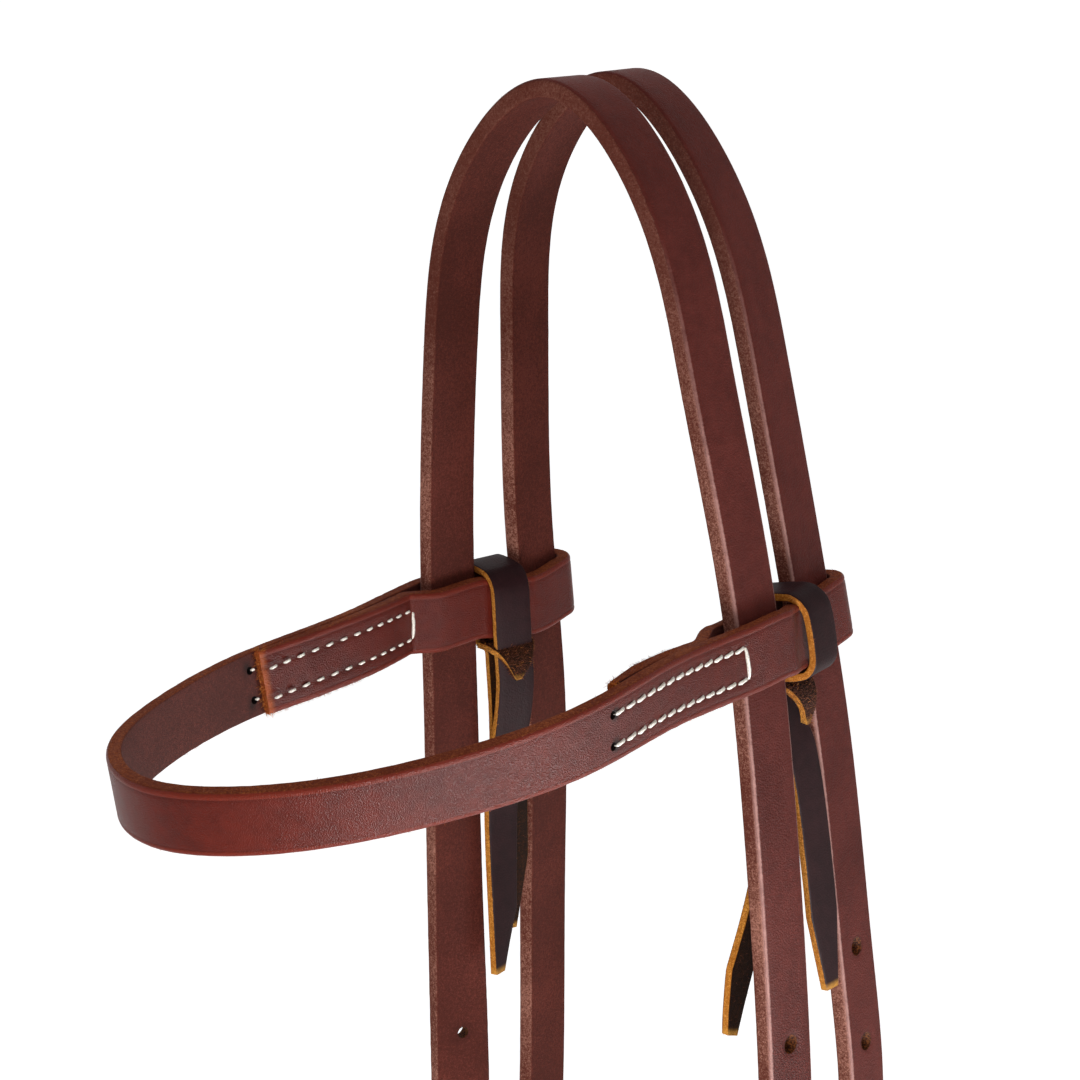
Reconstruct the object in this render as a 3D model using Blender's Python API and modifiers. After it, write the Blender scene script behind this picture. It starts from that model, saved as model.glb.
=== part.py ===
"""Browband headstall: a crown strap and a throatlatch over the poll, a looped browband with
lace ties, cheek pieces with buckles and screwed bit ends. The horse faces -Y, +X is its left,
and the origin is the underside of the crown strap at the poll."""
import math

import bmesh
import bpy
import numpy as np
from mathutils import Matrix, Vector

mm = 0.001

# Straps
strap_width = 15.9 * mm
strap_thickness = 4.5 * mm
edge_radius = 1.3 * mm
seat_gap = 0.3 * mm

# Punched holes
hole_diameter = 5.0 * mm
hole_pitch = 25.4 * mm
hole_count = 6
tip_beyond_last_hole = 32.0 * mm
tip_radius = 7.5 * mm
tip_share = 0.45
tip_mark_shares = (0.12, 0.4, 1.0)

# Arch of the crown strap, left and right of the horse
arch_height = 270.0 * mm
arch_drop_shares = (0.075, 0.24, 0.425, 0.61, 0.805, 1.0)
crown_front = 13.2 * mm
crown_rake = 16.0 * mm
crown_left_span = 58.0 * mm
crown_left_span_shares = (0.433, 0.700, 0.848, 0.928, 0.981, 1.0)
crown_left_rake_shares = (0.056, 0.156, 0.465, 0.70, 0.875, 1.0)
crown_right_span = 51.3 * mm
crown_right_span_shares = (0.546, 0.830, 0.935, 0.962, 0.977, 1.0)
crown_right_rake_shares = (0.056, 0.290, 0.520, 0.680, 0.806, 0.98)
crown_left_twist = 0.04
crown_right_twist = 0.33

# Arch of the throatlatch, behind the crown strap
throat_back = 12.0 * mm
throat_apex_shift = 3.0 * mm
throat_left_span = 53.3 * mm
throat_left_span_shares = (0.351, 0.625, 0.769, 0.863, 0.953, 1.0)
throat_left_rake = 28.0 * mm
throat_left_rake_shares = (0.143, 0.293, 0.500, 0.757, 0.900, 1.0)
throat_right_span = 50.6 * mm
throat_right_span_shares = (0.594, 0.810, 0.880, 0.896, 0.951, 1.0)
throat_right_rake = 22.6 * mm
throat_right_rake_shares = (0.044, 0.221, 0.456, 0.738, 0.889, 1.0)
throat_twist = -0.10

# First hole below the poll, and the hole that each buckle holds
crown_left_first_hole = 224.3 * mm
crown_right_first_hole = 249.6 * mm
crown_left_used_hole = 4
crown_right_used_hole = 3
throat_first_hole = 210.8 * mm
throat_used_hole = 4

# Buckles
bar_diameter = 3.8 * mm
buckle_length = 26.0 * mm
buckle_side_clearance = 1.3 * mm
buckle_corner = 3.2 * mm
buckle_tilt = math.radians(18)
tongue_diameter = 2.6 * mm
tongue_rise = 6.2 * mm
tongue_climb = math.radians(20)
tongue_slot_clearance = 0.5 * mm
tongue_hook_start, tongue_hook_end = -270, -10
tongue_entry_gap = 2 * seat_gap
tongue_exit_gap = 4 * seat_gap
tongue_elbow_out_share = 0.55
tongue_elbow_up_share = 0.75
tongue_lift_share = 0.8
billet_press = strap_thickness / 6
leg_straight_share = 1.45

# Cheek pieces and the turned end of the throatlatch
fold_neck = 13.0 * mm
turned_end = 50.0 * mm
fold_straight_share = 0.6
billet_settle_share = 2
billet_gap = 1.9 * mm
billet_clearance = 0.6 * mm
cheek_length = 176.0 * mm
bit_loop_radius = 8.5 * mm
bit_loop_neck = 15.0 * mm
bit_end_turn = 52.0 * mm
screw_spacing = 19.0 * mm
first_screw_above_neck = 8.0 * mm
screws_per_bit_end = 2
cheek_settle_share = 2
cheek_straight_share = 0.62
throat_drop = 450.0 * mm
throat_loop_radius = 54.0 * mm
throat_fold_share = 1.3

# Screw posts
post_head_diameter = 9.5 * mm
post_head_thickness = 1.6 * mm
post_barrel_diameter = 5.0 * mm
post_bore_diameter = 3.8 * mm
screw_shank_diameter = 3.0 * mm
head_dome = 0.5 * mm
head_flat_share = 0.6
post_floor_share = 0.25
screw_reach_share = 0.6

# Keepers
keeper_width = 9.5 * mm
keeper_wall = 2.2 * mm
fixed_keeper_drop = 21.0 * mm
sliding_keeper_drop = 62.0 * mm

# Browband
browband_width = 15.9 * mm
browband_thickness = 3.6 * mm
loop_clearance = 0.8 * mm
fold_inset = 2.3 * mm
browband_reach = 148.5 * mm
browband_front_shift = 3.9 * mm
browband_front_drop = 143.0 * mm
browband_left_drop = 126.3 * mm
browband_right_drop = 134.0 * mm
browband_left_bulge = 61.7 * mm
browband_left_bulge_shares = (0.950, 1.0, 0.853, 0.533)
browband_left_reach_shares = (0.317, 0.537, 0.749, 0.924)
browband_left_drop_shares = (0.08, 0.26, 0.53, 0.81)
browband_left_lean_shares = (-0.10, 0.35, 0.95, 1.10)
browband_right_bulge = 47.5 * mm
browband_right_bulge_shares = (0.985, 1.0, 0.866, 0.50)
browband_right_reach_shares = (0.291, 0.514, 0.730, 0.916)
browband_right_drop_shares = (0.18, 0.55, 0.90, 1.05)
browband_right_lean_shares = (0.45, 0.25, 0.15, 0.50)
browband_lean = 0.27
left_turn_length = 53.0 * mm
right_turn_length = 60.0 * mm
inner_turn_settle = 9.0 * mm
loop_reach_shares = ((-0.5, 0.36), (-0.5, 0.3))
loop_straight_shares = (0.2, 0.8)

# Stitching
thread_diameter = 1.1 * mm
thread_waist_share = 0.62
stitch_pitch = 4.6 * mm
stitch_row_offset = 3.7 * mm
left_bar_ahead = 3.0 * mm
right_bar_ahead = 9.5 * mm
browband_stitches = 12
fold_stitches = 6
fold_stitch_start = 28.0 * mm

# Lace ties: how far each inner tip hangs from the middle of its tie, forward, inward and down
lace_width = 10.8 * mm
lace_thickness = 2.0 * mm
lace_edge = 0.6 * mm
lace_corner = 2.2 * mm
lace_tip = 7.0 * mm
lace_straight = 9.0 * mm
tie_clearance = 0.7 * mm
tie_clearance_above = 1.6 * mm
tail_clearance = 1.1 * mm
outer_tail_inset = 3.6 * mm
outer_tail_length = 97.0 * mm
left_outer_tail_out = 0.4 * mm
left_outer_tail_shares = (0.75, 1.0, 1.0)
right_outer_tail_shares = (0.0, 0.0, 0.0)
left_inner_tail = (-3.4 * mm, -19.7 * mm, -97.4 * mm)
left_inner_tail_turn = -0.75
right_inner_tail = (6.9 * mm, -2.0 * mm, -100.7 * mm)
right_inner_tail_turn = 0.15

# Fineness of the swept shapes
dense_step = 0.5 * mm
path_slack = 0.07 * mm
slack_share = 0.022
longest_step = 20.0 * mm
turn_step = math.radians(13)
fold_turn_step = math.radians(24)
browband_turn_step = math.radians(16)
round_sides = 12
slot_sides = 32
section_steps = 1
inner_turn_places = 18
cut_overrun = 4.0 * mm
fold_steps = 12
hook_steps = 14
throat_loop_steps = 8
lace_bend_steps = 8


def fresh_scene():
    for item in list(bpy.data.objects):
        bpy.data.objects.remove(item, do_unlink=True)
    parts = bpy.data.collections.new("western_headstall")
    cutters = bpy.data.collections.new("cutters")
    for group in (parts, cutters):
        bpy.context.scene.collection.children.link(group)
    return parts, cutters


parts, cutters = fresh_scene()


def finish(name, colour, roughness, metallic=0.0):
    """A plain Principled finish."""
    made = bpy.data.materials.new(name)
    made.use_nodes = True
    shader = made.node_tree.nodes["Principled BSDF"]
    shader.inputs["Base Color"].default_value = (*colour, 1.0)
    shader.inputs["Roughness"].default_value = roughness
    shader.inputs["Metallic"].default_value = metallic
    return made


def place(name, data, material, parent=None, group=parts):
    """Put a mesh or a curve in the scene as a named piece."""
    made = bpy.data.objects.new(name, data)
    group.objects.link(made)
    if material:
        data.materials.append(finish(name, *material))
    made.parent = parent
    return made


harness_leather = ((0.12, 0.028, 0.022), 0.45)
latigo = ((0.028, 0.012, 0.014), 0.5)
waxed_thread = ((0.72, 0.70, 0.62), 0.7)
buckle_metal = ((0.62, 0.61, 0.58), 0.3, 1.0)


def run_length(points):
    """Distance along a polyline at each of its points."""
    steps = np.linalg.norm(np.diff(points, axis=0), axis=1)
    return np.concatenate([[0], np.cumsum(steps)])


def bend_slopes(knots, values):
    """Slopes at the knots of the smoothest curve through the values."""
    gap = np.diff(knots)
    rise = np.diff(values, axis=0) / gap[:, None]
    count = len(knots)
    system = np.zeros((count, count))
    right = np.zeros(values.shape)
    system[0, :2] = 2, 1
    system[-1, -2:] = 1, 2
    right[0] = 3 * rise[0]
    right[-1] = 3 * rise[-1]
    for i in range(1, count - 1):
        system[i, i - 1] = 1 / gap[i - 1]
        system[i, i] = 2 / gap[i - 1] + 2 / gap[i]
        system[i, i + 1] = 1 / gap[i]
        right[i] = 3 * (rise[i - 1] / gap[i - 1] + rise[i] / gap[i])
    return np.linalg.solve(system, right)


def firm_slopes(knots, values):
    """Slopes at the knots of a curve that never swings past a value."""
    rise = np.diff(values, axis=0) / np.diff(knots)[:, None]
    slopes = np.vstack([rise[:1], (rise[1:] + rise[:-1]) / 2, rise[-1:]])
    before, after = rise[:-1], rise[1:]
    same = before * after > 0
    total = np.where(same, before + after, 1)
    slopes[1:-1] = np.where(same, 2 * before * after / total, 0)
    return slopes


def smooth_path(places, axes, firm=False):
    """A dense smooth path through places, with an axis vector carried along it."""
    values = np.array([(*place, *axis) for place, axis in zip(places, axes)])
    knots = run_length(values[:, :3])
    firm = np.broadcast_to(firm, knots.shape)[:, None]
    slopes = np.where(firm, firm_slopes(knots, values), bend_slopes(knots, values))
    at = np.linspace(0, knots[-1], int(knots[-1] / dense_step) + 1)
    i = np.clip(np.searchsorted(knots, at) - 1, 0, len(knots) - 2)
    gap = (knots[i + 1] - knots[i])[:, None]
    t = (at - knots[i])[:, None] / gap
    both = (values[i] * (1 + 2 * t) * (1 - t) ** 2 + slopes[i] * gap * t * (1 - t) ** 2
            + values[i + 1] * (3 - 2 * t) * t ** 2 + slopes[i + 1] * gap * (t - 1) * t ** 2)
    return both[:, :3], unit(both[:, 3:])


def unit(vectors):
    return vectors / np.linalg.norm(vectors, axis=-1, keepdims=True)


def path_frame(points, across):
    """Tangent, width direction and thickness direction at each point."""
    along = unit(np.gradient(points, axis=0))
    across = unit(across - np.sum(across * along, axis=1, keepdims=True) * along)
    return along, across, np.cross(along, across)


def thinned(points, across, turn=turn_step, share=slack_share):
    """The places on a dense path that keep its bends: few on the straight, more on a curve."""
    along, across, face = path_frame(points, across)
    keep = [0]
    for i in range(2, len(points)):
        last = keep[-1]
        chord = points[i] - points[last]
        reach = np.linalg.norm(chord)
        offsets = points[last + 1:i] - points[last]
        beside = np.linalg.norm(np.cross(offsets, chord / reach), axis=1).max()
        bent = 1 - min(along[i] @ along[last], across[i] @ across[last])
        if beside > max(path_slack, share * reach) or reach > longest_step or bent > 1 - math.cos(turn):
            keep.append(i - 1)
    keep.append(len(points) - 1)
    return keep


def section(width, thickness, radius, steps=section_steps):
    """A rectangle with rounded corners, as offsets across and through a strap."""
    outline = []
    for quarter, (sx, sy) in enumerate(((1, 1), (-1, 1), (-1, -1), (1, -1))):
        for k in range(steps + 1):
            a = math.radians(90) * (quarter + k / steps)
            outline.append((sx * (width / 2 - radius) + radius * math.cos(a),
                            sy * (thickness / 2 - radius) + radius * math.sin(a)))
    return outline


def strap(name, points, across, width, thickness, material, ends=(0, 0), turn=turn_step,
          edge=edge_radius, parent=None, share=slack_share):
    """Sweep a rounded strap section along a path, with round tips where ends ask for them."""
    along, across, face = path_frame(points, across)
    length = run_length(points)
    keep = thinned(points, across, turn, share)
    for end, radius in zip((0, -1), ends):
        if radius:
            near = length if end == 0 else length[-1] - length
            marks = [int(np.argmin(abs(near - radius * s))) for s in tip_mark_shares]
            keep = sorted(set(keep) | set(marks))
    rows = len(keep)
    columns = len(section(width, thickness, edge))
    mesh = bmesh.new()
    bmesh.ops.create_grid(mesh, x_segments=rows - 1, y_segments=columns, size=1)
    for corner in mesh.verts:
        row = round((corner.co.x + 1) / 2 * (rows - 1))
        column = round((corner.co.y + 1) / 2 * columns) % columns
        i = keep[row]
        narrowed = width
        for near, radius in zip((length[i], length[-1] - length[i]), ends):
            if radius and near < radius:
                narrowed *= tip_share + (1 - tip_share) * math.sqrt(1 - (1 - near / radius) ** 2)
        u, v = section(narrowed, thickness, edge)[column]
        corner.co = Vector(points[i]) + Vector(across[i]) * u + Vector(face[i]) * v
    bmesh.ops.remove_doubles(mesh, verts=mesh.verts, dist=seat_gap / 10)
    bmesh.ops.holes_fill(mesh, edges=[e for e in mesh.edges if e.is_boundary])
    bmesh.ops.recalc_face_normals(mesh, faces=mesh.faces)
    data = bpy.data.meshes.new(name)
    mesh.to_mesh(data)
    mesh.free()
    return place(name, data, material, parent)


def cut(target, name, shapes):
    """Take several cutting shapes, built by functions on one mesh, out of a piece."""
    mesh = bmesh.new()
    for shape in shapes:
        shape(mesh)
    data = bpy.data.meshes.new(name)
    mesh.to_mesh(data)
    mesh.free()
    cutter = place(name, data, None, group=cutters)
    cutter.hide_render = True
    cutter.display_type = "WIRE"
    knife = target.modifiers.new(name, "BOOLEAN")
    knife.operation = "DIFFERENCE"
    knife.solver = "EXACT"
    knife.object = cutter


def punch(centre, direction, diameter, depth, sides=round_sides):
    """A round punch through a strap."""
    def shape(mesh):
        turn = Vector(direction).to_track_quat("Z", "Y").to_matrix().to_4x4()
        bmesh.ops.create_cone(mesh, cap_ends=True, segments=sides, radius1=diameter / 2,
                              radius2=diameter / 2, depth=depth,
                              matrix=Matrix.Translation(Vector(centre)) @ turn)
    return shape


def hole_round(diameter):
    """The diameter of a punch that leaves the seat gap all round a pin."""
    return (diameter + 2 * seat_gap) / math.cos(math.pi / round_sides)


def wire(name, points, diameter, material, parent=None, closed=False, radii=None, resolution=2):
    """A round wire or thread as a curve with thickness."""
    data = bpy.data.curves.new(name, "CURVE")
    data.dimensions = "3D"
    data.bevel_depth = diameter / 2
    data.bevel_resolution = resolution
    data.use_fill_caps = not closed
    line = data.splines.new("POLY")
    line.points.add(len(points) - 1)
    line.use_cyclic_u = closed
    for i, (spot, point) in enumerate(zip(line.points, points)):
        spot.co = (*point, 1)
        spot.radius = radii[i] if radii else 1
    return place(name, data, material, parent)


def arc(centre, radius, start, end, steps):
    """Points of a flat arc, angles in degrees."""
    turns = [math.radians(start + (end - start) * k / steps) for k in range(steps + 1)]
    return [(centre[0] + radius * math.cos(a), centre[1] + radius * math.sin(a)) for a in turns]


def round_box(width, height, radius, steps=4):
    """A flat outline with round corners."""
    outline = []
    for k, (sx, sy) in enumerate(((1, 1), (-1, 1), (-1, -1), (1, -1))):
        corner = (sx * (width / 2 - radius), sy * (height / 2 - radius))
        outline += arc(corner, radius, 90 * k, 90 * (k + 1), steps)
    return outline


# Arches over the poll


def arch(front, rake_left, rake_right, spans, span_shares, rake_shares, twists, apex_shift):
    """Centres and width directions of a strap from the left down end, over the poll, to the right."""
    centres = [Vector((apex_shift, front, strap_thickness / 2))]
    leans = [twists[2]]
    legs = []
    for side in (0, 1):
        sign = (1, -1)[side]
        leg = []
        for k, drop in enumerate(arch_drop_shares):
            x = sign * spans[side] * span_shares[side][k]
            y = front + (rake_left, rake_right)[side] * rake_shares[side][k]
            leg.append((Vector((x, y, strap_thickness / 2 - arch_height * drop)),
                        twists[side] * drop ** 3 + twists[2]))
        legs.append(leg)
    left = legs[0][::-1]
    centres = [c for c, t in left] + centres + [c for c, t in legs[1]]
    leans = [t for c, t in left] + leans + [t for c, t in legs[1]]
    widths = [Vector((math.sin(t), math.cos(t), 0)) for t in leans]
    return centres, widths


def leg_at(points, across, height, side):
    """Centre, width direction and outward direction of a leg at a height below the poll."""
    along, across, face = path_frame(points, across)
    on_side = points[:, 0] * side > 0
    i = int(np.argmin(np.where(on_side, abs(points[:, 2] + height), np.inf)))
    out = Vector(face[i])
    if out.x * side < 0:
        out = -out
    back = Vector(across[i])
    if back.y < 0:
        back = -back
    return Vector(points[i]), back, out


# Buckle axes: X points away from the horse, Z up, and the origin is on the heel bar


def heel_rise():
    """How far outside the heel bar the leg above the buckle runs."""
    bar_to_billet = (bar_diameter / 2 + seat_gap + strap_thickness / 2) / math.cos(buckle_tilt)
    return buckle_length * math.sin(buckle_tilt) - bar_to_billet - billet_press


def buckle_empty(name, leg_point, used_hole_drop, side, twist):
    """The empty on a buckle's heel bar."""
    made = bpy.data.objects.new(name, None)
    parts.objects.link(made)
    turn = twist if side > 0 else twist + math.pi
    outward = Vector((math.cos(turn), math.sin(turn), 0))
    heel = leg_point - outward * heel_rise()
    made.location = (heel.x, heel.y, -(used_hole_drop + tongue_rise))
    made.rotation_euler = (0, 0, turn)
    made.empty_display_size = bar_diameter
    matrix = Matrix.Translation(made.location) @ Matrix.Rotation(turn, 4, "Z")
    return made, matrix


layer_out = (seat_gap + strap_thickness) / 2
wrap_radius = bar_diameter / 2 + seat_gap + strap_thickness / 2
billet_over_bar = wrap_radius + strap_thickness + billet_clearance
billet_over_cheek = layer_out + strap_thickness / 2 + billet_gap + strap_thickness / 2
upper_bar = Vector((buckle_length * math.sin(buckle_tilt), 0, buckle_length * math.cos(buckle_tilt)))
used_hole_out = billet_over_bar - billet_press


def billet_points(matrix, tip_drop):
    """The billet from above a buckle, under its upper bar, over its heel and down to its tip."""
    under_bar = (bar_diameter / 2 + seat_gap + strap_thickness / 2) / math.cos(buckle_tilt)
    local = [
        (heel_rise(), 0, buckle_length * leg_straight_share),
        (upper_bar.x - under_bar, 0, upper_bar.z),
        (used_hole_out, 0, tongue_rise),
        (billet_over_bar, 0, -bar_diameter / 2),
        (billet_over_cheek + seat_gap, 0, -fold_neck),
        (billet_over_cheek, 0, -fold_neck * billet_settle_share),
        (billet_over_cheek, 0, -(fold_neck * billet_settle_share + tip_drop) / 2),
        (billet_over_cheek, 0, -tip_drop),
    ]
    return [matrix @ Vector(p) for p in local]


def fold_points(first_layer_drop):
    """A strap end turned round the heel bar, from its cut end up and over to the outer layer."""
    local = [(-layer_out, 0, -turned_end), (-layer_out, 0, -turned_end * fold_straight_share),
             (-layer_out, 0, -fold_neck)]
    for x, z in arc((0, 0), wrap_radius, 180, 0, fold_steps):
        local.append((x, 0, z))
    local += [(layer_out, 0, -fold_neck), (layer_out, 0, -turned_end * fold_straight_share),
              (layer_out, 0, -first_layer_drop)]
    return local


def buckle(name, empty):
    """Frame and tongue, in the heel bar's axes."""
    inner = strap_width + 2 * buckle_side_clearance
    flat = round_box(inner + bar_diameter, buckle_length, buckle_corner)
    lean = Matrix.Rotation(buckle_tilt, 4, "Y")
    loop = [lean @ Vector((0, y, z + buckle_length / 2)) for y, z in flat]
    wire(name + "_buckle_frame", loop, bar_diameter, buckle_metal, empty, closed=True)

    ring = bar_diameter / 2 + seat_gap + tongue_diameter / 2
    hook = [(x, 0, z) for x, z in arc((0, 0), ring, tongue_hook_start, tongue_hook_end, hook_steps)]
    hole = Vector((used_hole_out, 0, tongue_rise))
    aim = Vector((math.cos(tongue_climb), 0, math.sin(tongue_climb)))
    leave = hole + aim * (strap_thickness / 2 + tongue_exit_gap)
    elbow = leave + Vector((tongue_diameter * tongue_elbow_out_share, 0,
                            tongue_diameter * tongue_elbow_up_share))
    rest_out = upper_bar.x + (bar_diameter / 2 + seat_gap + tongue_diameter / 2) / math.cos(buckle_tilt)
    shank = [
        (ring + tongue_entry_gap, 0, tongue_rise / 2),
        tuple(hole - aim * (strap_thickness / 2 + tongue_entry_gap)),
        tuple(leave),
        tuple(elbow),
        (elbow.x + seat_gap, 0, elbow.z + tongue_diameter),
        (rest_out + seat_gap, 0, upper_bar.z * tongue_lift_share),
        (rest_out, 0, upper_bar.z + tongue_diameter),
    ]
    route = hook + shank
    points, across = smooth_path(route, [(0, 1, 0)] * len(route))
    wire(name + "_buckle_tongue", [points[i] for i in thinned(points, across, fold_turn_step)],
         tongue_diameter, buckle_metal, empty, resolution=1)


def keeper(name, empty, drop, inside, outside):
    """A leather loop round the layers between two places out from the heel bar."""
    data = bpy.data.curves.new(name, "CURVE")
    data.dimensions = "2D"
    data.fill_mode = "BOTH"
    data.extrude = keeper_width / 2
    depth = outside - inside + 2 * seat_gap
    width = strap_width + 2 * seat_gap
    for wall in (0, keeper_wall):
        outline = round_box(depth + 2 * wall, width + 2 * wall, edge_radius + seat_gap + wall)
        line = data.splines.new("POLY")
        line.points.add(len(outline) - 1)
        line.use_cyclic_u = True
        for spot, (x, y) in zip(line.points, outline):
            spot.co = (x, y, 0, 1)
    made = place(name, data, harness_leather, empty)
    made.location = ((inside + outside) / 2, 0, -drop)
    return made


def beaded(line, count):
    """Points and radii of a row of stitches along a straight or bent line."""
    length = run_length(line)
    at = np.linspace(0, length[-1], 2 * count + 1)
    spots = np.stack([np.interp(at, length, line[:, k]) for k in range(3)], axis=1)
    radii = [thread_waist_share if k % 2 == 0 else 1.0 for k in range(len(at))]
    return [tuple(p) for p in spots], radii


def stitched_loop(name, rows, parent=None):
    """One closed thread from rows of points, each given with its number of stitches."""
    points, radii = [], []
    for line, count in rows:
        line = np.array([tuple(p) for p in line])
        spots, sizes = beaded(line, count) if count > 1 else (line.tolist(), [1.0] * len(line))
        if points and np.allclose(points[-1], spots[0]):
            spots, sizes = spots[1:], sizes[1:]
        points += [tuple(p) for p in spots]
        radii += sizes
    if np.allclose(points[0], points[-1]):
        points, radii = points[:-1], radii[:-1]
    return wire(name, points, thread_diameter, waxed_thread, parent, True, radii, 0)


def fold_stitching(name, matrix):
    """Two rows through the turned end below a buckle, with the holes that the thread turns in."""
    out = layer_out + strap_thickness / 2 + seat_gap + thread_diameter / 2
    top, low = -fold_stitch_start, -fold_stitch_start - stitch_pitch * (fold_stitches - 1)
    low = max(low, -turned_end + thread_diameter * 2)
    a, b = -stitch_row_offset, stitch_row_offset

    def at(x, y, z):
        return matrix @ Vector((x, y, z))

    rows = [([at(out, a, low), at(out, a, top)], fold_stitches),
            ([at(out, a, top), at(out, b, top)], 1),
            ([at(out, b, top), at(out, b, low)], fold_stitches),
            ([at(out, b, low), at(-out, b, low)], 1),
            ([at(-out, b, low), at(-out, b, top)], fold_stitches),
            ([at(-out, b, top), at(-out, a, top)], 1),
            ([at(-out, a, top), at(-out, a, low)], fold_stitches)]
    stitched_loop(name, rows)
    outward = matrix.to_3x3() @ Vector((1, 0, 0))
    needle = hole_round(thread_diameter)
    depth = 2 * out
    return [punch(at(0, y, low), outward, needle, depth) for y in (a, b)]


def tongue_slot(matrix):
    """The slot in a fold that the tongue swings in: a disc round the heel bar."""
    across = matrix.to_3x3() @ Vector((0, 1, 0))
    round_fold = 2 * wrap_radius + strap_thickness + seat_gap
    return punch(matrix.translation, across, round_fold,
                 tongue_diameter + 2 * tongue_slot_clearance, slot_sides)


def turned(name, profile, empty, place_at, flip):
    """A turned screw part: a profile of radius and height, spun, lying along the buckle's X."""
    mesh = bmesh.new()
    spots = [mesh.verts.new((r, 0, z)) for r, z in profile]
    for first, second in zip(spots, spots[1:]):
        mesh.edges.new((first, second))
    data = bpy.data.meshes.new(name)
    mesh.to_mesh(data)
    mesh.free()
    made = place(name, data, buckle_metal, empty)
    spin = made.modifiers.new("spin", "SCREW")
    spin.steps = spin.render_steps = round_sides
    spin.use_merge_vertices = True
    spin.merge_threshold = seat_gap / 10
    spin.use_normal_calculate = True
    made.location = place_at
    made.rotation_euler = (0, math.radians(-90 if flip else 90), 0)
    return made


def screw_post(name, empty, drop):
    """A flanged post from inside and its screw from outside, through both layers."""
    half = layer_out + strap_thickness / 2 + seat_gap
    head, barrel = post_head_diameter / 2, post_barrel_diameter / 2
    bore, shank = post_bore_diameter / 2, screw_shank_diameter / 2
    rim = post_head_thickness - head_dome
    reach = 2 * half - seat_gap
    flat, floor, tip = head * head_flat_share, reach * post_floor_share, reach * screw_reach_share
    cap = [(head, 0), (head, -rim), (flat, -post_head_thickness), (0, -post_head_thickness)]
    post = [(0, floor), (bore, floor), (bore, reach), (barrel, reach), (barrel, 0)] + cap
    screw = [(0, tip), (shank, tip), (shank, 0)] + cap
    turned(name + "_post", post, empty, (-half, 0, -drop), False)
    turned(name + "_screw", screw, empty, (half, 0, -drop), True)


# Crown strap and cheek pieces

crown_centres, crown_widths = arch(
    -crown_front, crown_rake, crown_rake, (crown_left_span, crown_right_span),
    (crown_left_span_shares, crown_right_span_shares),
    (crown_left_rake_shares, crown_right_rake_shares),
    (crown_left_twist, crown_right_twist, 0), 0)
crown_points, crown_across = smooth_path(crown_centres, crown_widths)

throat_centres, throat_widths = arch(
    throat_back, throat_left_rake, throat_right_rake, (throat_left_span, throat_right_span),
    (throat_left_span_shares, throat_right_span_shares),
    (throat_left_rake_shares, throat_right_rake_shares),
    (0, 0, throat_twist), -throat_apex_shift)
throat_points, throat_across = smooth_path(throat_centres, throat_widths)


def leg_holes(points, across, matrix, used_hole, down):
    """Places and directions of a leg's holes, a pitch apart from the one that its buckle holds."""
    along, across, face = path_frame(points, across)
    held = np.array(matrix @ Vector((used_hole_out, 0, tongue_rise)))
    used = int(np.argmin(np.linalg.norm(points - held, axis=1)))
    length = run_length(points)
    holes = []
    for k in range(1, hole_count + 1):
        i = int(np.argmin(abs(length - length[used] - down * (k - used_hole) * hole_pitch)))
        holes.append((points[i], face[i]))
    return holes


def billet_tip_drop(used_hole):
    """How far below the heel bar a billet's tip hangs."""
    return (hole_count - used_hole) * hole_pitch + tip_beyond_last_hole - tongue_rise


cheek_sides = {
    "left": (1, crown_left_span, -crown_front + crown_rake * crown_left_rake_shares[-1],
             crown_left_first_hole, crown_left_used_hole, crown_left_twist),
    "right": (-1, crown_right_span, -crown_front + crown_rake * crown_right_rake_shares[-1],
              crown_right_first_hole, crown_right_used_hole, crown_right_twist),
}


def cheek(name, side, span, back, first_hole, used_hole, twist):
    """One cheek piece with its buckle, keepers, stitching and bit end. Returns its axes."""
    drop = first_hole + (used_hole - 1) * hole_pitch
    turn = -twist
    empty, matrix = buckle_empty(name + "_cheek_axes", Vector((side * span, back, 0)), drop, side, turn)
    low = cheek_length - bit_loop_radius
    local = fold_points(fold_stitch_start * cheek_settle_share)
    local += [(layer_out, 0, -low * cheek_straight_share), (layer_out, 0, -low + bit_loop_neck)]
    for x, z in arc((0, -low), bit_loop_radius, 0, -180, fold_steps):
        local.append((x, 0, z))
    local += [(-layer_out, 0, -low + bit_loop_neck), (-layer_out, 0, -low + bit_end_turn)]
    across = matrix.to_3x3() @ Vector((0, 1, 0))
    world = [matrix @ Vector(p) for p in local]
    points, widths = smooth_path(world, [across] * len(world), True)
    piece = strap(name + "_cheek_strap", points, widths, strap_width, strap_thickness,
                  harness_leather, turn=fold_turn_step)
    cuts = fold_stitching(name + "_cheek_thread", matrix)
    cuts.append(tongue_slot(matrix))
    outward = matrix.to_3x3() @ Vector((1, 0, 0))
    for k in range(screws_per_bit_end):
        level = low - bit_loop_neck - first_screw_above_neck - k * screw_spacing
        screw_post(f"{name}_bit_end_{k + 1}", empty, level)
        cuts.append(punch(matrix @ Vector((0, 0, -level)), outward,
                          hole_round(post_barrel_diameter), 2 * (layer_out + strap_thickness + cut_overrun)))
    cut(piece, name + "_cheek_cuts", cuts)
    buckle(name + "_cheek", empty)
    outside = billet_over_cheek + strap_thickness / 2 + seat_gap
    keeper(name + "_cheek_fixed_keeper", empty, fixed_keeper_drop,
           -layer_out - strap_thickness / 2, outside)
    keeper(name + "_cheek_sliding_keeper", empty, sliding_keeper_drop,
           layer_out - strap_thickness / 2, outside)
    return matrix


cheek_axes = {name: cheek(name, *sizes) for name, sizes in cheek_sides.items()}


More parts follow.
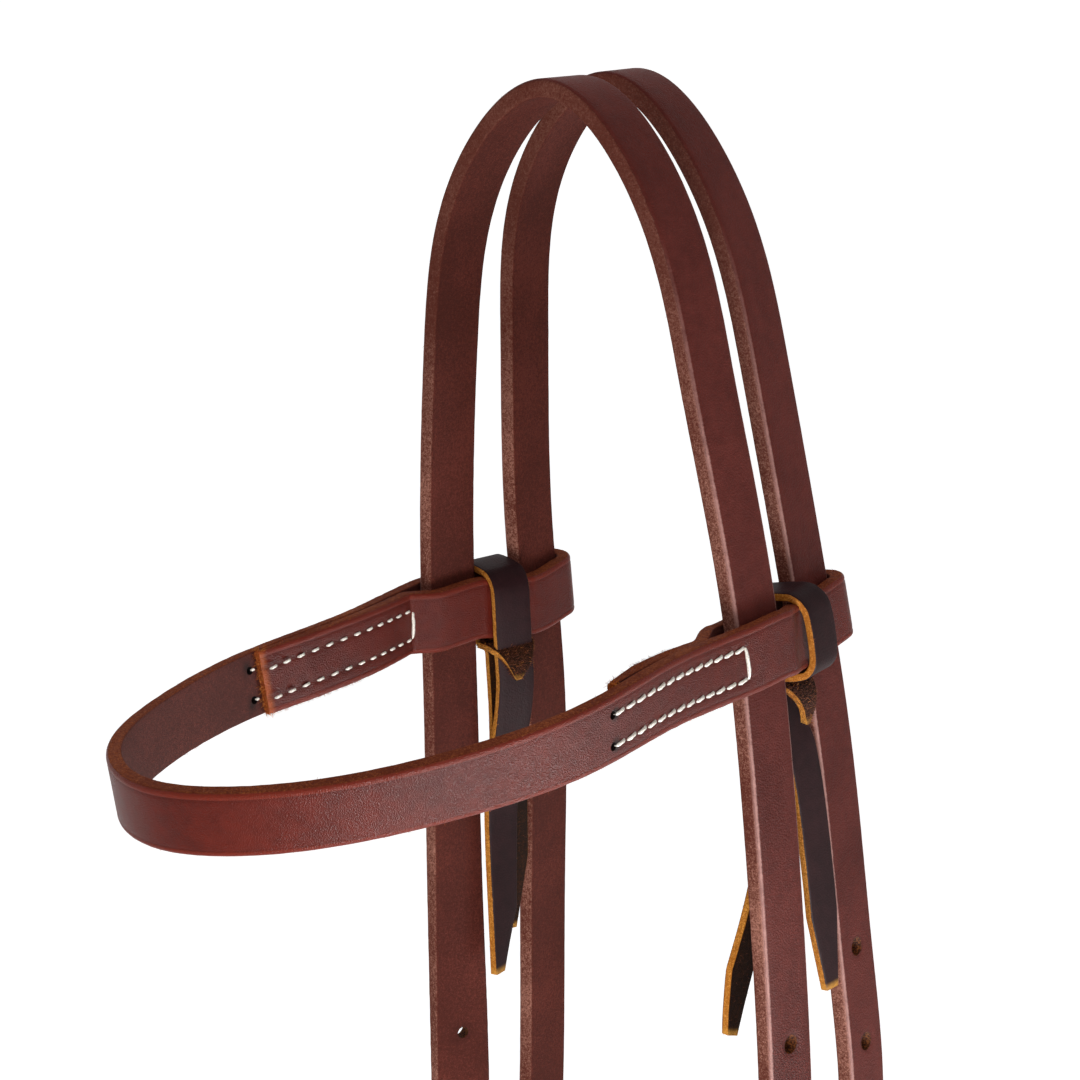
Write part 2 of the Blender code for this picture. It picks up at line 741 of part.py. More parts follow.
def crown_strap():
    """The crown strap, from the tip of its left billet to the tip of its right one."""
    left, right = cheek_axes["left"], cheek_axes["right"]
    left_leg = billet_points(left, billet_tip_drop(crown_left_used_hole))
    right_leg = billet_points(right, billet_tip_drop(crown_right_used_hole))
    lowest = max(left_leg[0].z, right_leg[0].z) + longest_step / 2
    middle = [(c, w) for c, w in zip(crown_centres, crown_widths) if c.z > lowest]
    places = left_leg[::-1] + [c for c, w in middle] + right_leg
    left_across = left.to_3x3() @ Vector((0, 1, 0))
    right_across = right.to_3x3() @ Vector((0, -1, 0))
    widths = [left_across] * len(left_leg) + [w for c, w in middle] + [right_across] * len(right_leg)
    firm = [True] * (len(left_leg) - 1) + [False] * (len(middle) + 2) + [True] * (len(right_leg) - 1)
    points, across = smooth_path(places, widths, firm)
    piece = strap("crown_strap", points, across, strap_width, strap_thickness, harness_leather,
                  ends=(tip_radius, tip_radius))
    cuts = []
    for leg in ((left, crown_left_used_hole, -1), (right, crown_right_used_hole, 1)):
        for centre, direction in leg_holes(points, across, *leg):
            cuts.append(punch(centre, direction, hole_diameter, strap_thickness + 3 * seat_gap))
    cut(piece, "crown_holes", cuts)
    return points, across


crown_run, crown_run_across = crown_strap()


def throatlatch():
    """The throatlatch: one strap from its left billet over the poll, down the right side,
    under the throat and up to the buckle on the left."""
    drop = throat_first_hole + (throat_used_hole - 1) * hole_pitch
    back = throat_back + throat_left_rake
    empty, matrix = buckle_empty("throatlatch_axes", Vector((throat_left_span, back, 0)), drop, 1,
                                 -throat_twist)
    billet = billet_points(matrix, billet_tip_drop(throat_used_hole))
    across = matrix.to_3x3() @ Vector((0, 1, 0))
    middle = [(c, w) for c, w in zip(throat_centres, throat_widths) if c.z > billet[0].z + longest_step / 2
              or c.x < 0]
    places = billet[::-1] + [c for c, w in middle]
    widths = [across] * len(billet) + [w for c, w in middle]

    fold = [matrix @ Vector(p) for p in fold_points(turned_end * throat_fold_share)][::-1]
    right_end = throat_centres[-1]
    left_end = fold[0]
    centre_x = (right_end.x + left_end.x) / 2
    half = (left_end.x - right_end.x) / 2
    level = -throat_drop + throat_loop_radius
    for k in range(throat_loop_steps + 1):
        a = math.pi * k / throat_loop_steps
        share = k / throat_loop_steps
        places.append(Vector((centre_x - half * math.cos(a),
                              right_end.y + (left_end.y - right_end.y) * share,
                              level - throat_loop_radius * math.sin(a))))
        widths.append(Vector((0, 1, 0)).lerp(across, share))
    places += fold
    widths += [across] * len(fold)
    free = len(places) - len(billet) - len(fold) + 1
    firm = [True] * (len(billet) - 1) + [False] * free + [True] * len(fold)
    points, run_across = smooth_path(places, widths, firm)
    piece = strap("throatlatch_strap", points, run_across, strap_width, strap_thickness,
                  harness_leather, ends=(tip_radius, 0))
    cuts = fold_stitching("throatlatch_thread", matrix)
    cuts.append(tongue_slot(matrix))
    billet_end = len(points) // 2
    for centre, direction in leg_holes(points[:billet_end], run_across[:billet_end], matrix,
                                       throat_used_hole, -1):
        cuts.append(punch(centre, direction, hole_diameter, strap_thickness + 3 * seat_gap))
    cut(piece, "throatlatch_cuts", cuts)
    buckle("throatlatch", empty)
    outside = billet_over_cheek + strap_thickness / 2 + seat_gap
    keeper("throatlatch_fixed_keeper", empty, fixed_keeper_drop,
           -layer_out - strap_thickness / 2, outside)
    keeper("throatlatch_sliding_keeper", empty, sliding_keeper_drop,
           layer_out - strap_thickness / 2, outside)
    return points, run_across


throat_run, throat_run_across = throatlatch()


# Browband: it rides with its threads and laces on an empty at the poll

browband_axes = bpy.data.objects.new("browband_axes", None)
parts.objects.link(browband_axes)

layer_off = strap_thickness / 2 + loop_clearance + browband_thickness / 2
layer_step = browband_thickness + seat_gap + 2 * path_slack
fold_reach = strap_width / 2 - fold_inset


def loop_frames(side, drop):
    """Centres, width and outward directions of both straps where the browband goes round them."""
    return (leg_at(crown_run, crown_run_across, drop, side),
            leg_at(throat_run, throat_run_across, drop, side))


def up_strap(back, outward):
    """The direction up a leg."""
    lift = outward.cross(back)
    return lift if lift.z > 0 else -lift


def loop_side(side, drop, out):
    """Points of one layer along both straps, front to back: out is 1 outside, -1 inside."""
    places, lifts = [], []
    for (centre, back, outward), reaches in zip(loop_frames(side, drop), loop_reach_shares):
        for reach in reaches:
            places.append(centre + outward * layer_off * out + back * strap_width * reach)
            lifts.append(up_strap(back, outward))
    for share in loop_straight_shares:
        places.insert(-2, places[1].lerp(places[-2], share))
        lifts.insert(-2, lifts[1].lerp(lifts[-2], share))
    return places, lifts


def fold_round(side, drop):
    """Points of the fold behind the rear strap, from inside to outside."""
    centre, back, outward = loop_frames(side, drop)[1]
    middle = centre + back * fold_reach
    places = []
    for along, out in arc((0, 0), layer_off, -90, 90, fold_steps):
        places.append(middle + back * along + outward * out)
    return places, [up_strap(back, outward)] * len(places)


def front_stations():
    """The browband's free arc from left to right: places and height directions."""
    sides = {
        1: (browband_left_bulge, browband_left_bulge_shares, browband_left_reach_shares,
            browband_left_drop, browband_left_drop_shares, browband_left_lean_shares),
        -1: (browband_right_bulge, browband_right_bulge_shares, browband_right_reach_shares,
             browband_right_drop, browband_right_drop_shares, browband_right_lean_shares),
    }
    runs = {}
    for side, (bulge, spans, reaches, drop, drops, leans) in sides.items():
        runs[side] = []
        for span, reach, fall, lean in zip(spans, reaches, drops, leans):
            height = -drop + (drop - browband_front_drop) * fall
            runs[side].append((Vector((side * bulge * span, -browband_reach * reach, height)), lean))
    front = (Vector((browband_front_shift, -browband_reach, -browband_front_drop)), 1.0)
    stations = runs[1] + [front] + runs[-1][::-1]
    places = [spot for spot, lean in stations]
    lifts = []
    for k, (here, lean) in enumerate(stations):
        before = places[max(k - 1, 0)]
        after = places[min(k + 1, len(places) - 1)]
        outward = (after - before).cross(Vector((0, 0, 1)))
        if outward.dot(here + Vector((0, browband_reach / 2, 0))) < 0:
            outward.negate()
        a = browband_lean * lean
        lifts.append(Vector((0, 0, 1)) * math.cos(a) + outward.normalized() * math.sin(a))
    return places, lifts


def outer_layer():
    """The browband's outer layer, from the back of its left loop to the back of its right."""
    left, left_lifts = loop_side(1, browband_left_drop, 1)
    right, right_lifts = loop_side(-1, browband_right_drop, 1)
    front, front_lifts = front_stations()
    firm = [True] * (len(left) - 1) + [False] * (len(front) + 2) + [True] * (len(right) - 1)
    return smooth_path(left[::-1] + front + right, left_lifts[::-1] + front_lifts + right_lifts, firm)


outer_points, outer_across = outer_layer()
outer_along, outer_lifts, outer_faces = path_frame(outer_points, outer_across)
outward_sign = np.sign(outer_faces[len(outer_faces) // 2] @ np.array([0, -1, 0]))
outer_faces = outer_faces * outward_sign
outer_length = run_length(outer_points)


def ahead_of_strap(side):
    """Distances along the outer layer, measured forward from the front edge of the crown strap."""
    drop = browband_left_drop if side > 0 else browband_right_drop
    corner = np.array(loop_side(side, drop, 1)[0][0])
    at = outer_length[int(np.argmin(np.linalg.norm(outer_points - corner, axis=1)))]
    return (outer_length - at) * side


def layer_point(side, ahead, depth, lift=0.0):
    """A point beside the outer layer: so far ahead, so deep from its middle, so high on it."""
    distances = ahead_of_strap(side)
    order = np.argsort(distances)

    def read(rows):
        return Vector([np.interp(ahead, distances[order], rows[order, k]) for k in range(3)])

    return read(outer_points) + read(outer_faces) * depth + read(outer_lifts) * lift


def browband_end(side, drop, turn_length):
    """One folded end: from its cut edge back along the inside and round to the outside."""
    places, lifts = [], []
    for k in range(inner_turn_places + 1):
        ahead = turn_length + (inner_turn_settle - turn_length) * k / inner_turn_places
        places.append(layer_point(side, ahead, -layer_step))
        lifts.append(layer_point(side, ahead, 0, 1) - layer_point(side, ahead, 0))
    inside, inside_lifts = loop_side(side, drop, -1)
    fold, fold_lifts = fold_round(side, drop)
    return smooth_path(places + inside[:-1] + fold, lifts + inside_lifts[:-1] + fold_lifts, True)


def browband():
    """The browband strap with both ends folded round the two straps."""
    left, left_across = browband_end(1, browband_left_drop, left_turn_length)
    right, right_across = browband_end(-1, browband_right_drop, right_turn_length)
    points = np.vstack([left[:-1], outer_points, right[-2::-1]])
    across = np.vstack([left_across[:-1], outer_across, right_across[-2::-1]])
    return strap("browband_strap", points, across, browband_width, browband_thickness,
                 harness_leather, turn=browband_turn_step, parent=browband_axes, share=0)


browband_strap = browband()


def browband_stitching(side, name, bar_ahead, inner_bar_ahead, turn_length):
    """One closed thread: a U of stitches outside and one inside, joined through two holes."""
    out = browband_thickness / 2 + seat_gap + 2 * path_slack + thread_diameter / 2
    deep = -layer_step - out
    start = bar_ahead + browband_stitches * stitch_pitch
    step_down = turn_length + seat_gap * 2 + thread_diameter / 2
    high, low = stitch_row_offset, -stitch_row_offset

    def run(first, last, depth, lift):
        samples = 2 * browband_stitches
        return [layer_point(side, first + (last - first) * k / samples, depth, lift)
                for k in range(samples + 1)]

    inner_stitches = round((step_down - inner_bar_ahead) / stitch_pitch)
    rows = [(run(start, bar_ahead, out, high), browband_stitches),
            (run(bar_ahead, start, out, low), browband_stitches),
            ([layer_point(side, start, -out, low), layer_point(side, step_down, -out, low)], 1),
            (run(step_down, inner_bar_ahead, deep, low), inner_stitches),
            (run(inner_bar_ahead, step_down, deep, high), inner_stitches),
            ([layer_point(side, step_down, -out, high), layer_point(side, start, -out, high)], 1)]
    stitched_loop(name, rows, browband_axes)
    outward = layer_point(side, start, 1) - layer_point(side, start, 0)
    depth = browband_thickness + cut_overrun
    return [punch(layer_point(side, start, 0, lift), outward, hole_round(thread_diameter), depth)
            for lift in (high, low)]


stitch_holes = browband_stitching(1, "left_browband_thread", left_bar_ahead,
                                  inner_turn_settle + stitch_pitch / 2, left_turn_length)
stitch_holes += browband_stitching(-1, "right_browband_thread", right_bar_ahead,
                                   inner_turn_settle + stitch_pitch / 2, right_turn_length)
cut(browband_strap, "browband_needle_holes", stitch_holes)


# Lace ties


def gap_middle(side, drop):
    """The middle of the gap between the two straps."""
    (front, front_back, front_out), (rear, rear_back, rear_out) = loop_frames(side, drop)
    return (front + rear + (front_back - rear_back) * strap_width / 2) / 2


def tie_axes(side, drop):
    """A frame between the straps: X outward, Z up the gap."""
    middle = gap_middle(side, drop)
    i = int(np.argmin(np.linalg.norm(outer_points - np.array(middle), axis=1)))
    outward = Vector(outer_faces[i])
    lift = gap_middle(side, drop - browband_width / 2) - gap_middle(side, drop + browband_width / 2)
    lift = (lift - outward * lift.dot(outward)).normalized()
    matrix = Matrix((outward, lift.cross(outward), lift)).transposed().to_4x4()
    return Matrix.Translation(Vector(outer_points[i]) - outward * layer_off) @ matrix


def lace_ring():
    """The lace's turn over both layers and under them, as points of out and up."""
    half_out = layer_off + browband_thickness / 2 + tie_clearance + lace_thickness / 2
    half_up = browband_width / 2 + tie_clearance_above + lace_thickness / 2
    r = lace_corner
    ring = [(-half_out, -half_up - lace_straight), (-half_out, -half_up)]
    bends = (((r - half_out, half_up - r), 180, 90), ((half_out - r, half_up - r), 90, 0),
             ((half_out - r, r - half_up), 0, -90), ((r - outer_tail_inset, -half_up - r), 90, 180))
    for centre, start, end in bends:
        bend = [Vector(spot) for spot in arc(centre, r, start, end, lace_bend_steps)]
        ring.append(tuple(bend[0] * 2 - bend[1]))
        ring += [tuple(spot) for spot in bend]
        ring.append(tuple(bend[-1] * 2 - bend[-2]))
    return ring


def outer_tail(side, drop, shares, out):
    """Places of the tail that hangs between the straps."""
    places = []
    for k, share in enumerate(shares):
        level = drop + outer_tail_length * (k + 1) / len(shares)
        (front, front_back, front_out), (rear, rear_back, rear_out) = loop_frames(side, level)
        ahead = front + front_back * strap_width / 2
        behind = rear - rear_back * strap_width / 2
        gap = (behind - ahead).normalized()
        beside = behind - gap * (lace_width / 2 + tail_clearance)
        outward = (front_out + rear_out).normalized()
        outset = -outer_tail_inset + (out + outer_tail_inset) * share
        places.append(((ahead + behind) / 2).lerp(beside, share) + outward * outset)
    return places


def lace(name, side, drop, inner_tail, inner_turn, outer_shares, outer_out):
    """One lace: its inner tail, up the inside, over both layers, under them and its outer tail."""
    frame = tie_axes(side, drop)
    ring = [frame @ Vector((x, 0, z)) for x, z in lace_ring()]
    across = frame.to_3x3() @ Vector((0, 1, 0))
    outer = outer_tail(side, drop, outer_shares, outer_out)
    tip = frame.translation + Vector(inner_tail)
    inner = [tip, tip.lerp(ring[0], 1 / 2)]
    axes = [Matrix.Rotation(inner_turn * turn, 3, "Z") @ across for turn in (1, 1 / 2)]
    axes += [across] * (len(ring) + len(outer))
    points, widths = smooth_path(inner + ring + outer, axes, True)
    return strap(name, points, widths, lace_width, lace_thickness, latigo, ends=(lace_tip, lace_tip),
                 turn=fold_turn_step, edge=lace_edge, parent=browband_axes)


lace("left_lace_tie", 1, browband_left_drop, left_inner_tail, left_inner_tail_turn,
     left_outer_tail_shares, left_outer_tail_out)
lace("right_lace_tie", -1, browband_right_drop, right_inner_tail, right_inner_tail_turn,
     right_outer_tail_shares, -outer_tail_inset)
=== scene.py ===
# %% [markdown]
# Western headstall: the looks.
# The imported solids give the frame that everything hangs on: a crown strap and a throatlatch over the
# horse's poll, a looped browband with lace ties, and buckled cheek pieces. This script makes each piece
# again as it is on the real one: cut leather with rounded, fibrous edges, waxed thread, dark laces with
# orange edges, and nickel buckles. The places come from the same sizes as the solids, so nothing shifts.

# %% Start
import math

import bmesh
import bpy
import numpy as np
from mathutils import Matrix, Vector, noise


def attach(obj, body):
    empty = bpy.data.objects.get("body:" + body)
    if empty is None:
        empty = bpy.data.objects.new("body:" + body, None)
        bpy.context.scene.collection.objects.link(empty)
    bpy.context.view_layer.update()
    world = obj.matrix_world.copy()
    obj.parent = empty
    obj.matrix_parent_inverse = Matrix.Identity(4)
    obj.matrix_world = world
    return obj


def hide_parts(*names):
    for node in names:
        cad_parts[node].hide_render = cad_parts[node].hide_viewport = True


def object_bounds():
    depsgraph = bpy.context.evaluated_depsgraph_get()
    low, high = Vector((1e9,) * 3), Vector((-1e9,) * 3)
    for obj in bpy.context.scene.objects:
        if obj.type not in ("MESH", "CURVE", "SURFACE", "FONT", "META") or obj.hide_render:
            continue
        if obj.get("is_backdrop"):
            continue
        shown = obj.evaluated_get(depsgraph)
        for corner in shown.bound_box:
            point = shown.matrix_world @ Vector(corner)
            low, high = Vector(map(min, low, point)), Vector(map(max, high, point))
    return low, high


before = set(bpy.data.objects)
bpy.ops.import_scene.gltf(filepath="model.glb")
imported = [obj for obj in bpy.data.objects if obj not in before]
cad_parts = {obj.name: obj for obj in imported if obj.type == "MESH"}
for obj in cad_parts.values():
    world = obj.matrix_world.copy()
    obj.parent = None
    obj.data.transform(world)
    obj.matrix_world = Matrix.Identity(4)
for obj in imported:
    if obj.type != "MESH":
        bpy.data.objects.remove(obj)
cad_low, cad_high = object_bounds()
print("CAD box, mm:", [round(x * 1000, 1) for x in (*cad_low, *cad_high)])
mm = 0.001


# %% [markdown]
# Sizes, in metres. They are the ones that the solids were drawn with, so that each visible piece lies
# where its solid lies. Where one differs, a comment says why. A share is a part of another size.

# %% Sizes
strap_width, strap_thickness = 15.9 * mm, 4.5 * mm
seat_gap = 0.3 * mm
edge_radius = 1.3 * mm
hole_diameter, hole_pitch, hole_count = 5.0 * mm, 25.4 * mm, 6
tip_beyond_last_hole, tip_radius, tip_share = 32.0 * mm, 7.5 * mm, 0.45
arch_height = 270.0 * mm
arch_drop_shares = (0.075, 0.24, 0.425, 0.61, 0.805, 1.0)
bar_diameter, buckle_length, buckle_tilt = 3.8 * mm, 26.0 * mm, math.radians(18)
buckle_side_clearance, buckle_corner = 1.3 * mm, 3.2 * mm
tongue_diameter, tongue_rise, tongue_climb = 2.6 * mm, 6.2 * mm, math.radians(20)
tongue_slot_clearance, tongue_thinning, tongue_taper = 0.5 * mm, 0.35, 9 * mm
tongue_entry_gap, tongue_exit_gap, tongue_lift_share = 2 * seat_gap, 4 * seat_gap, 0.8
tongue_elbow_out_share, tongue_elbow_up_share = 0.55, 0.75
fold_neck, turned_end, fold_straight_share, fold_steps = 13.0 * mm, 50.0 * mm, 0.6, 12
billet_gap, billet_clearance, billet_press = 1.9 * mm, 0.6 * mm, strap_thickness / 6
leg_straight_share, cheek_straight_share, throat_fold_share = 1.45, 0.62, 1.3
buckle_stretch = 10.0 * mm
cheek_length, bit_loop_radius, bit_loop_neck = 176.0 * mm, 8.5 * mm, 15.0 * mm
bit_end_turn, screw_spacing, first_screw_above_neck = 52.0 * mm, 19.0 * mm, 8.0 * mm
throat_drop, throat_loop_radius = 450.0 * mm, 54.0 * mm
keeper_width, keeper_wall = 9.5 * mm, 2.2 * mm
fixed_keeper_drop, sliding_keeper_drop = 21.0 * mm, 62.0 * mm
fold_stitches, fold_stitch_start = 6, 28.0 * mm
thread_diameter, stitch_pitch, stitch_row_offset = 1.1 * mm, 4.6 * mm, 3.7 * mm
dense_step = 0.5 * mm

# %% [markdown]
# Paths. A strap is one flat strip that follows a line in space, so it is drawn as a sweep: a smooth
# curve through a few places, with the direction of the strip's width carried along. A curve object
# would do for a plain ribbon, but it can't keep the width square to a buckle, fold tightly round a bar
# and tell each point how far along the leather it is, so the curve is worked out here instead.

# %% Path helpers


def unit(vectors):
    """Vectors made one long."""
    return vectors / np.linalg.norm(vectors, axis=-1, keepdims=True)


def run_length(points):
    """Distance along a polyline at each of its points."""
    return np.concatenate([[0], np.cumsum(np.linalg.norm(np.diff(points, axis=0), axis=1))])


def bend_slopes(knots, values):
    """Slopes at the knots of the smoothest curve through the values."""
    gap = np.diff(knots)
    rise = np.diff(values, axis=0) / gap[:, None]
    count = len(knots)
    system, right = np.zeros((count, count)), np.zeros(values.shape)
    system[0, :2], system[-1, -2:] = (2, 1), (1, 2)
    right[0], right[-1] = 3 * rise[0], 3 * rise[-1]
    for i in range(1, count - 1):
        system[i, i - 1:i + 2] = 1 / gap[i - 1], 2 / gap[i - 1] + 2 / gap[i], 1 / gap[i]
        right[i] = 3 * (rise[i - 1] / gap[i - 1] + rise[i] / gap[i])
    return np.linalg.solve(system, right)


def firm_slopes(knots, values):
    """Slopes of a curve that never swings past a value, for folds."""
    rise = np.diff(values, axis=0) / np.diff(knots)[:, None]
    slopes = np.vstack([rise[:1], (rise[1:] + rise[:-1]) / 2, rise[-1:]])
    before, after = rise[:-1], rise[1:]
    same = before * after > 0
    slopes[1:-1] = np.where(same, 2 * before * after / np.where(same, before + after, 1), 0)
    return slopes


def smooth_path(places, axes, firm=False):
    """A dense smooth path through places, with an axis vector carried along it."""
    values = np.array([(*place, *axis) for place, axis in zip(places, axes)])
    knots = run_length(values[:, :3])
    firm = np.broadcast_to(firm, knots.shape)[:, None]
    slopes = np.where(firm, firm_slopes(knots, values), bend_slopes(knots, values))
    at = np.linspace(0, knots[-1], int(knots[-1] / dense_step) + 1)
    i = np.clip(np.searchsorted(knots, at) - 1, 0, len(knots) - 2)
    gap = (knots[i + 1] - knots[i])[:, None]
    t = (at - knots[i])[:, None] / gap
    both = (values[i] * (1 + 2 * t) * (1 - t) ** 2 + slopes[i] * gap * t * (1 - t) ** 2
            + values[i + 1] * (3 - 2 * t) * t ** 2 + slopes[i + 1] * gap * (t - 1) * t ** 2)
    return both[:, :3], unit(both[:, 3:])


def path_frame(points, across):
    """Tangent, width direction and thickness direction at each point."""
    along = unit(np.gradient(points, axis=0))
    across = unit(across - np.sum(across * along, axis=1, keepdims=True) * along)
    return along, across, np.cross(along, across)


def arc(centre, radius, start, end, steps):
    """Points of a flat arc, angles in degrees."""
    turns = [math.radians(start + (end - start) * k / steps) for k in range(steps + 1)]
    return [(centre[0] + radius * math.cos(a), centre[1] + radius * math.sin(a)) for a in turns]


def round_box(width, height, radius, steps):
    """A flat outline with round corners."""
    outline = []
    for k, (sx, sy) in enumerate(((1, 1), (-1, 1), (-1, -1), (1, -1))):
        corner = (sx * (width / 2 - radius), sy * (height / 2 - radius))
        outline += arc(corner, radius, 90 * k, 90 * (k + 1), steps)
    return outline


# %% [markdown]
# The routes of the straps, from the same shares as the solids: the two arches over the poll first.

# %% Arches over the poll


def arch(front, rakes, spans, span_shares, rake_shares, twists, apex_shift):
    """Centres and width directions from the left down end, over the poll, to the right."""
    legs = []
    for side, sign in ((0, 1), (1, -1)):
        leg = []
        for k, drop in enumerate(arch_drop_shares):
            spot = Vector((sign * spans[side] * span_shares[side][k],
                           front + rakes[side] * rake_shares[side][k],
                           strap_thickness / 2 - arch_height * drop))
            leg.append((spot, twists[side] * drop ** 3 + twists[2]))
        legs.append(leg)
    stations = legs[0][::-1] + [(Vector((apex_shift, front, strap_thickness / 2)), twists[2])] + legs[1]
    return [c for c, t in stations], [Vector((math.sin(t), math.cos(t), 0)) for c, t in stations]


crown_spans, crown_rake, crown_front = (58.0 * mm, 51.3 * mm), 16.0 * mm, 13.2 * mm
crown_left_rake_shares = (0.056, 0.156, 0.465, 0.70, 0.875, 1.0)
crown_right_rake_shares = (0.056, 0.290, 0.520, 0.680, 0.806, 0.98)
crown_centres, crown_widths = arch(
    -crown_front, (crown_rake, crown_rake), crown_spans,
    ((0.433, 0.700, 0.848, 0.928, 0.981, 1.0), (0.546, 0.830, 0.935, 0.962, 0.977, 1.0)),
    (crown_left_rake_shares, crown_right_rake_shares), (0.04, 0.33, 0), 0)

throat_spans, throat_rakes, throat_twist = (53.3 * mm, 50.6 * mm), (28.0 * mm, 22.6 * mm), -0.10
throat_back, throat_apex_shift = 12.0 * mm, 3.0 * mm
throat_centres, throat_widths = arch(
    throat_back, throat_rakes, throat_spans,
    ((0.351, 0.625, 0.769, 0.863, 0.953, 1.0), (0.594, 0.810, 0.880, 0.896, 0.951, 1.0)),
    ((0.143, 0.293, 0.500, 0.757, 0.900, 1.0), (0.044, 0.221, 0.456, 0.738, 0.889, 1.0)),
    (0, 0, throat_twist), -throat_apex_shift)
print("arches:", len(crown_centres), "and", len(throat_centres), "stations")

# %% [markdown]
# Buckles. Each has its own axes on its heel bar: X out from the horse, Z up. Everything at a buckle,
# from the fold to the screws, is placed in those axes.

# %% Buckle axes and folds
layer_out = (seat_gap + strap_thickness) / 2
wrap_radius = bar_diameter / 2 + seat_gap + strap_thickness / 2
billet_over_bar = wrap_radius + strap_thickness + billet_clearance
billet_over_cheek = layer_out + strap_thickness + billet_gap
under_bar = wrap_radius / math.cos(buckle_tilt)
upper_bar = Vector((buckle_length * math.sin(buckle_tilt), 0, buckle_length * math.cos(buckle_tilt)))
used_hole_out = billet_over_bar - billet_press
heel_rise = upper_bar.x - under_bar - billet_press


def buckle_axes(leg_point, first_hole, used_hole, side, twist):
    """Axes of a heel bar, set so that its tongue meets the used hole of the leg."""
    turn = twist if side > 0 else twist + math.pi
    heel = leg_point - Vector((math.cos(turn), math.sin(turn), 0)) * heel_rise
    heel.z = -(first_hole + (used_hole - 1) * hole_pitch + tongue_rise)
    return Matrix.Translation(heel) @ Matrix.Rotation(turn, 4, "Z")


axes = {
    "left_cheek": buckle_axes(Vector((crown_spans[0], crown_rake - crown_front, 0)), 224.3 * mm, 4, 1, -0.04),
    "right_cheek": buckle_axes(Vector((-crown_spans[1], crown_rake * crown_right_rake_shares[-1]
                                       - crown_front, 0)), 249.6 * mm, 3, -1, -0.33),
    "throatlatch": buckle_axes(Vector((throat_spans[0], throat_back + throat_rakes[0], 0)),
                               210.8 * mm, 4, 1, -throat_twist),
}


def billet_points(matrix, tip_drop):
    """From above a buckle, under its upper bar, over its heel and down to the tip."""
    local = [(heel_rise, 0, buckle_length * leg_straight_share), (upper_bar.x - under_bar, 0, upper_bar.z),
             (used_hole_out, 0, tongue_rise), (billet_over_bar, 0, -bar_diameter / 2),
             (billet_over_cheek + seat_gap, 0, -fold_neck), (billet_over_cheek, 0, -fold_neck * 2),
             (billet_over_cheek, 0, -(fold_neck * 2 + tip_drop) / 2), (billet_over_cheek, 0, -tip_drop)]
    return [matrix @ Vector(p) for p in local]


def fold_points(first_layer_drop):
    """A strap end turned round the heel bar, from its cut end up and over to the outer layer."""
    straight = -turned_end * fold_straight_share
    return [(-layer_out, 0, -turned_end), (-layer_out, 0, straight), (-layer_out, 0, -fold_neck),
            *((x, 0, z) for x, z in arc((0, 0), wrap_radius, 180, 0, fold_steps)),
            (layer_out, 0, -fold_neck), (layer_out, 0, straight), (layer_out, 0, -first_layer_drop)]


def tip_drop(used_hole):
    """How far below the heel bar a billet's tip hangs."""
    return (hole_count - used_hole) * hole_pitch + tip_beyond_last_hole - tongue_rise


print("heel bars, mm:", {n: [round(x * 1000, 1) for x in m.translation] for n, m in axes.items()})

# %% [markdown]
# The buckles now fix where the straps go. The crown strap ends in two billets, the throatlatch
# runs from its billet round to its own fold, and a cheek piece is turned back round the bar above and
# round the bit below.

# %% Strap routes


def crown_route():
    """From the left tip up over the poll and down to the right tip."""
    left, right = axes["left_cheek"], axes["right_cheek"]
    left_leg, right_leg = billet_points(left, tip_drop(4)), billet_points(right, tip_drop(3))
    lowest = max(left_leg[0].z, right_leg[0].z) + buckle_stretch
    middle = [(c, w) for c, w in zip(crown_centres, crown_widths) if c.z > lowest]
    places = left_leg[::-1] + [c for c, w in middle] + right_leg
    widths = ([left.to_3x3() @ Vector((0, 1, 0))] * len(left_leg) + [w for c, w in middle]
              + [right.to_3x3() @ Vector((0, -1, 0))] * len(right_leg))
    firm = [True] * (len(left_leg) - 1) + [False] * (len(middle) + 2) + [True] * (len(right_leg) - 1)
    return smooth_path(places, widths, firm)


def throat_route():
    """From the tip over the poll, down the right and under the throat to the fold."""
    matrix = axes["throatlatch"]
    billet = billet_points(matrix, tip_drop(4))
    across = matrix.to_3x3() @ Vector((0, 1, 0))
    middle = [(c, w) for c, w in zip(throat_centres, throat_widths)
              if c.z > billet[0].z + buckle_stretch or c.x < 0]
    places = billet[::-1] + [c for c, w in middle]
    widths = [across] * len(billet) + [w for c, w in middle]
    fold = [matrix @ Vector(p) for p in fold_points(turned_end * throat_fold_share)][::-1]
    right_end, left_end = throat_centres[-1], fold[0]
    centre, half = (right_end + left_end) / 2, (left_end.x - right_end.x) / 2
    for k in range(9):
        a, share = math.pi * k / 8, k / 8
        places.append(Vector((centre.x - half * math.cos(a),
                              right_end.y + (left_end.y - right_end.y) * share,
                              -throat_drop + throat_loop_radius * (1 - math.sin(a)))))
        widths.append(Vector((0, 1, 0)).lerp(across, share))
    firm = ([True] * (len(billet) - 1) + [False] * (len(middle) + 10) + [True] * len(fold))
    return smooth_path(places + fold, widths + [across] * len(fold), firm)


def cheek_route(matrix):
    """From the fold at the buckle down, round the bit and up again inside."""
    low = cheek_length - bit_loop_radius
    local = fold_points(fold_stitch_start * 2)
    local += [(layer_out, 0, -low * cheek_straight_share), (layer_out, 0, -low + bit_loop_neck)]
    local += [(x, 0, z) for x, z in arc((0, -low), bit_loop_radius, 0, -180, fold_steps)]
    local += [(-layer_out, 0, -low + bit_loop_neck), (-layer_out, 0, -low + bit_end_turn)]
    across = matrix.to_3x3() @ Vector((0, 1, 0))
    return smooth_path([matrix @ Vector(p) for p in local], [across] * len(local), True)


crown_run, crown_across = crown_route()
throat_run, throat_across = throat_route()
print("strap lengths, mm: crown", round(run_length(crown_run)[-1] * 1000),
      "throatlatch", round(run_length(throat_run)[-1] * 1000))

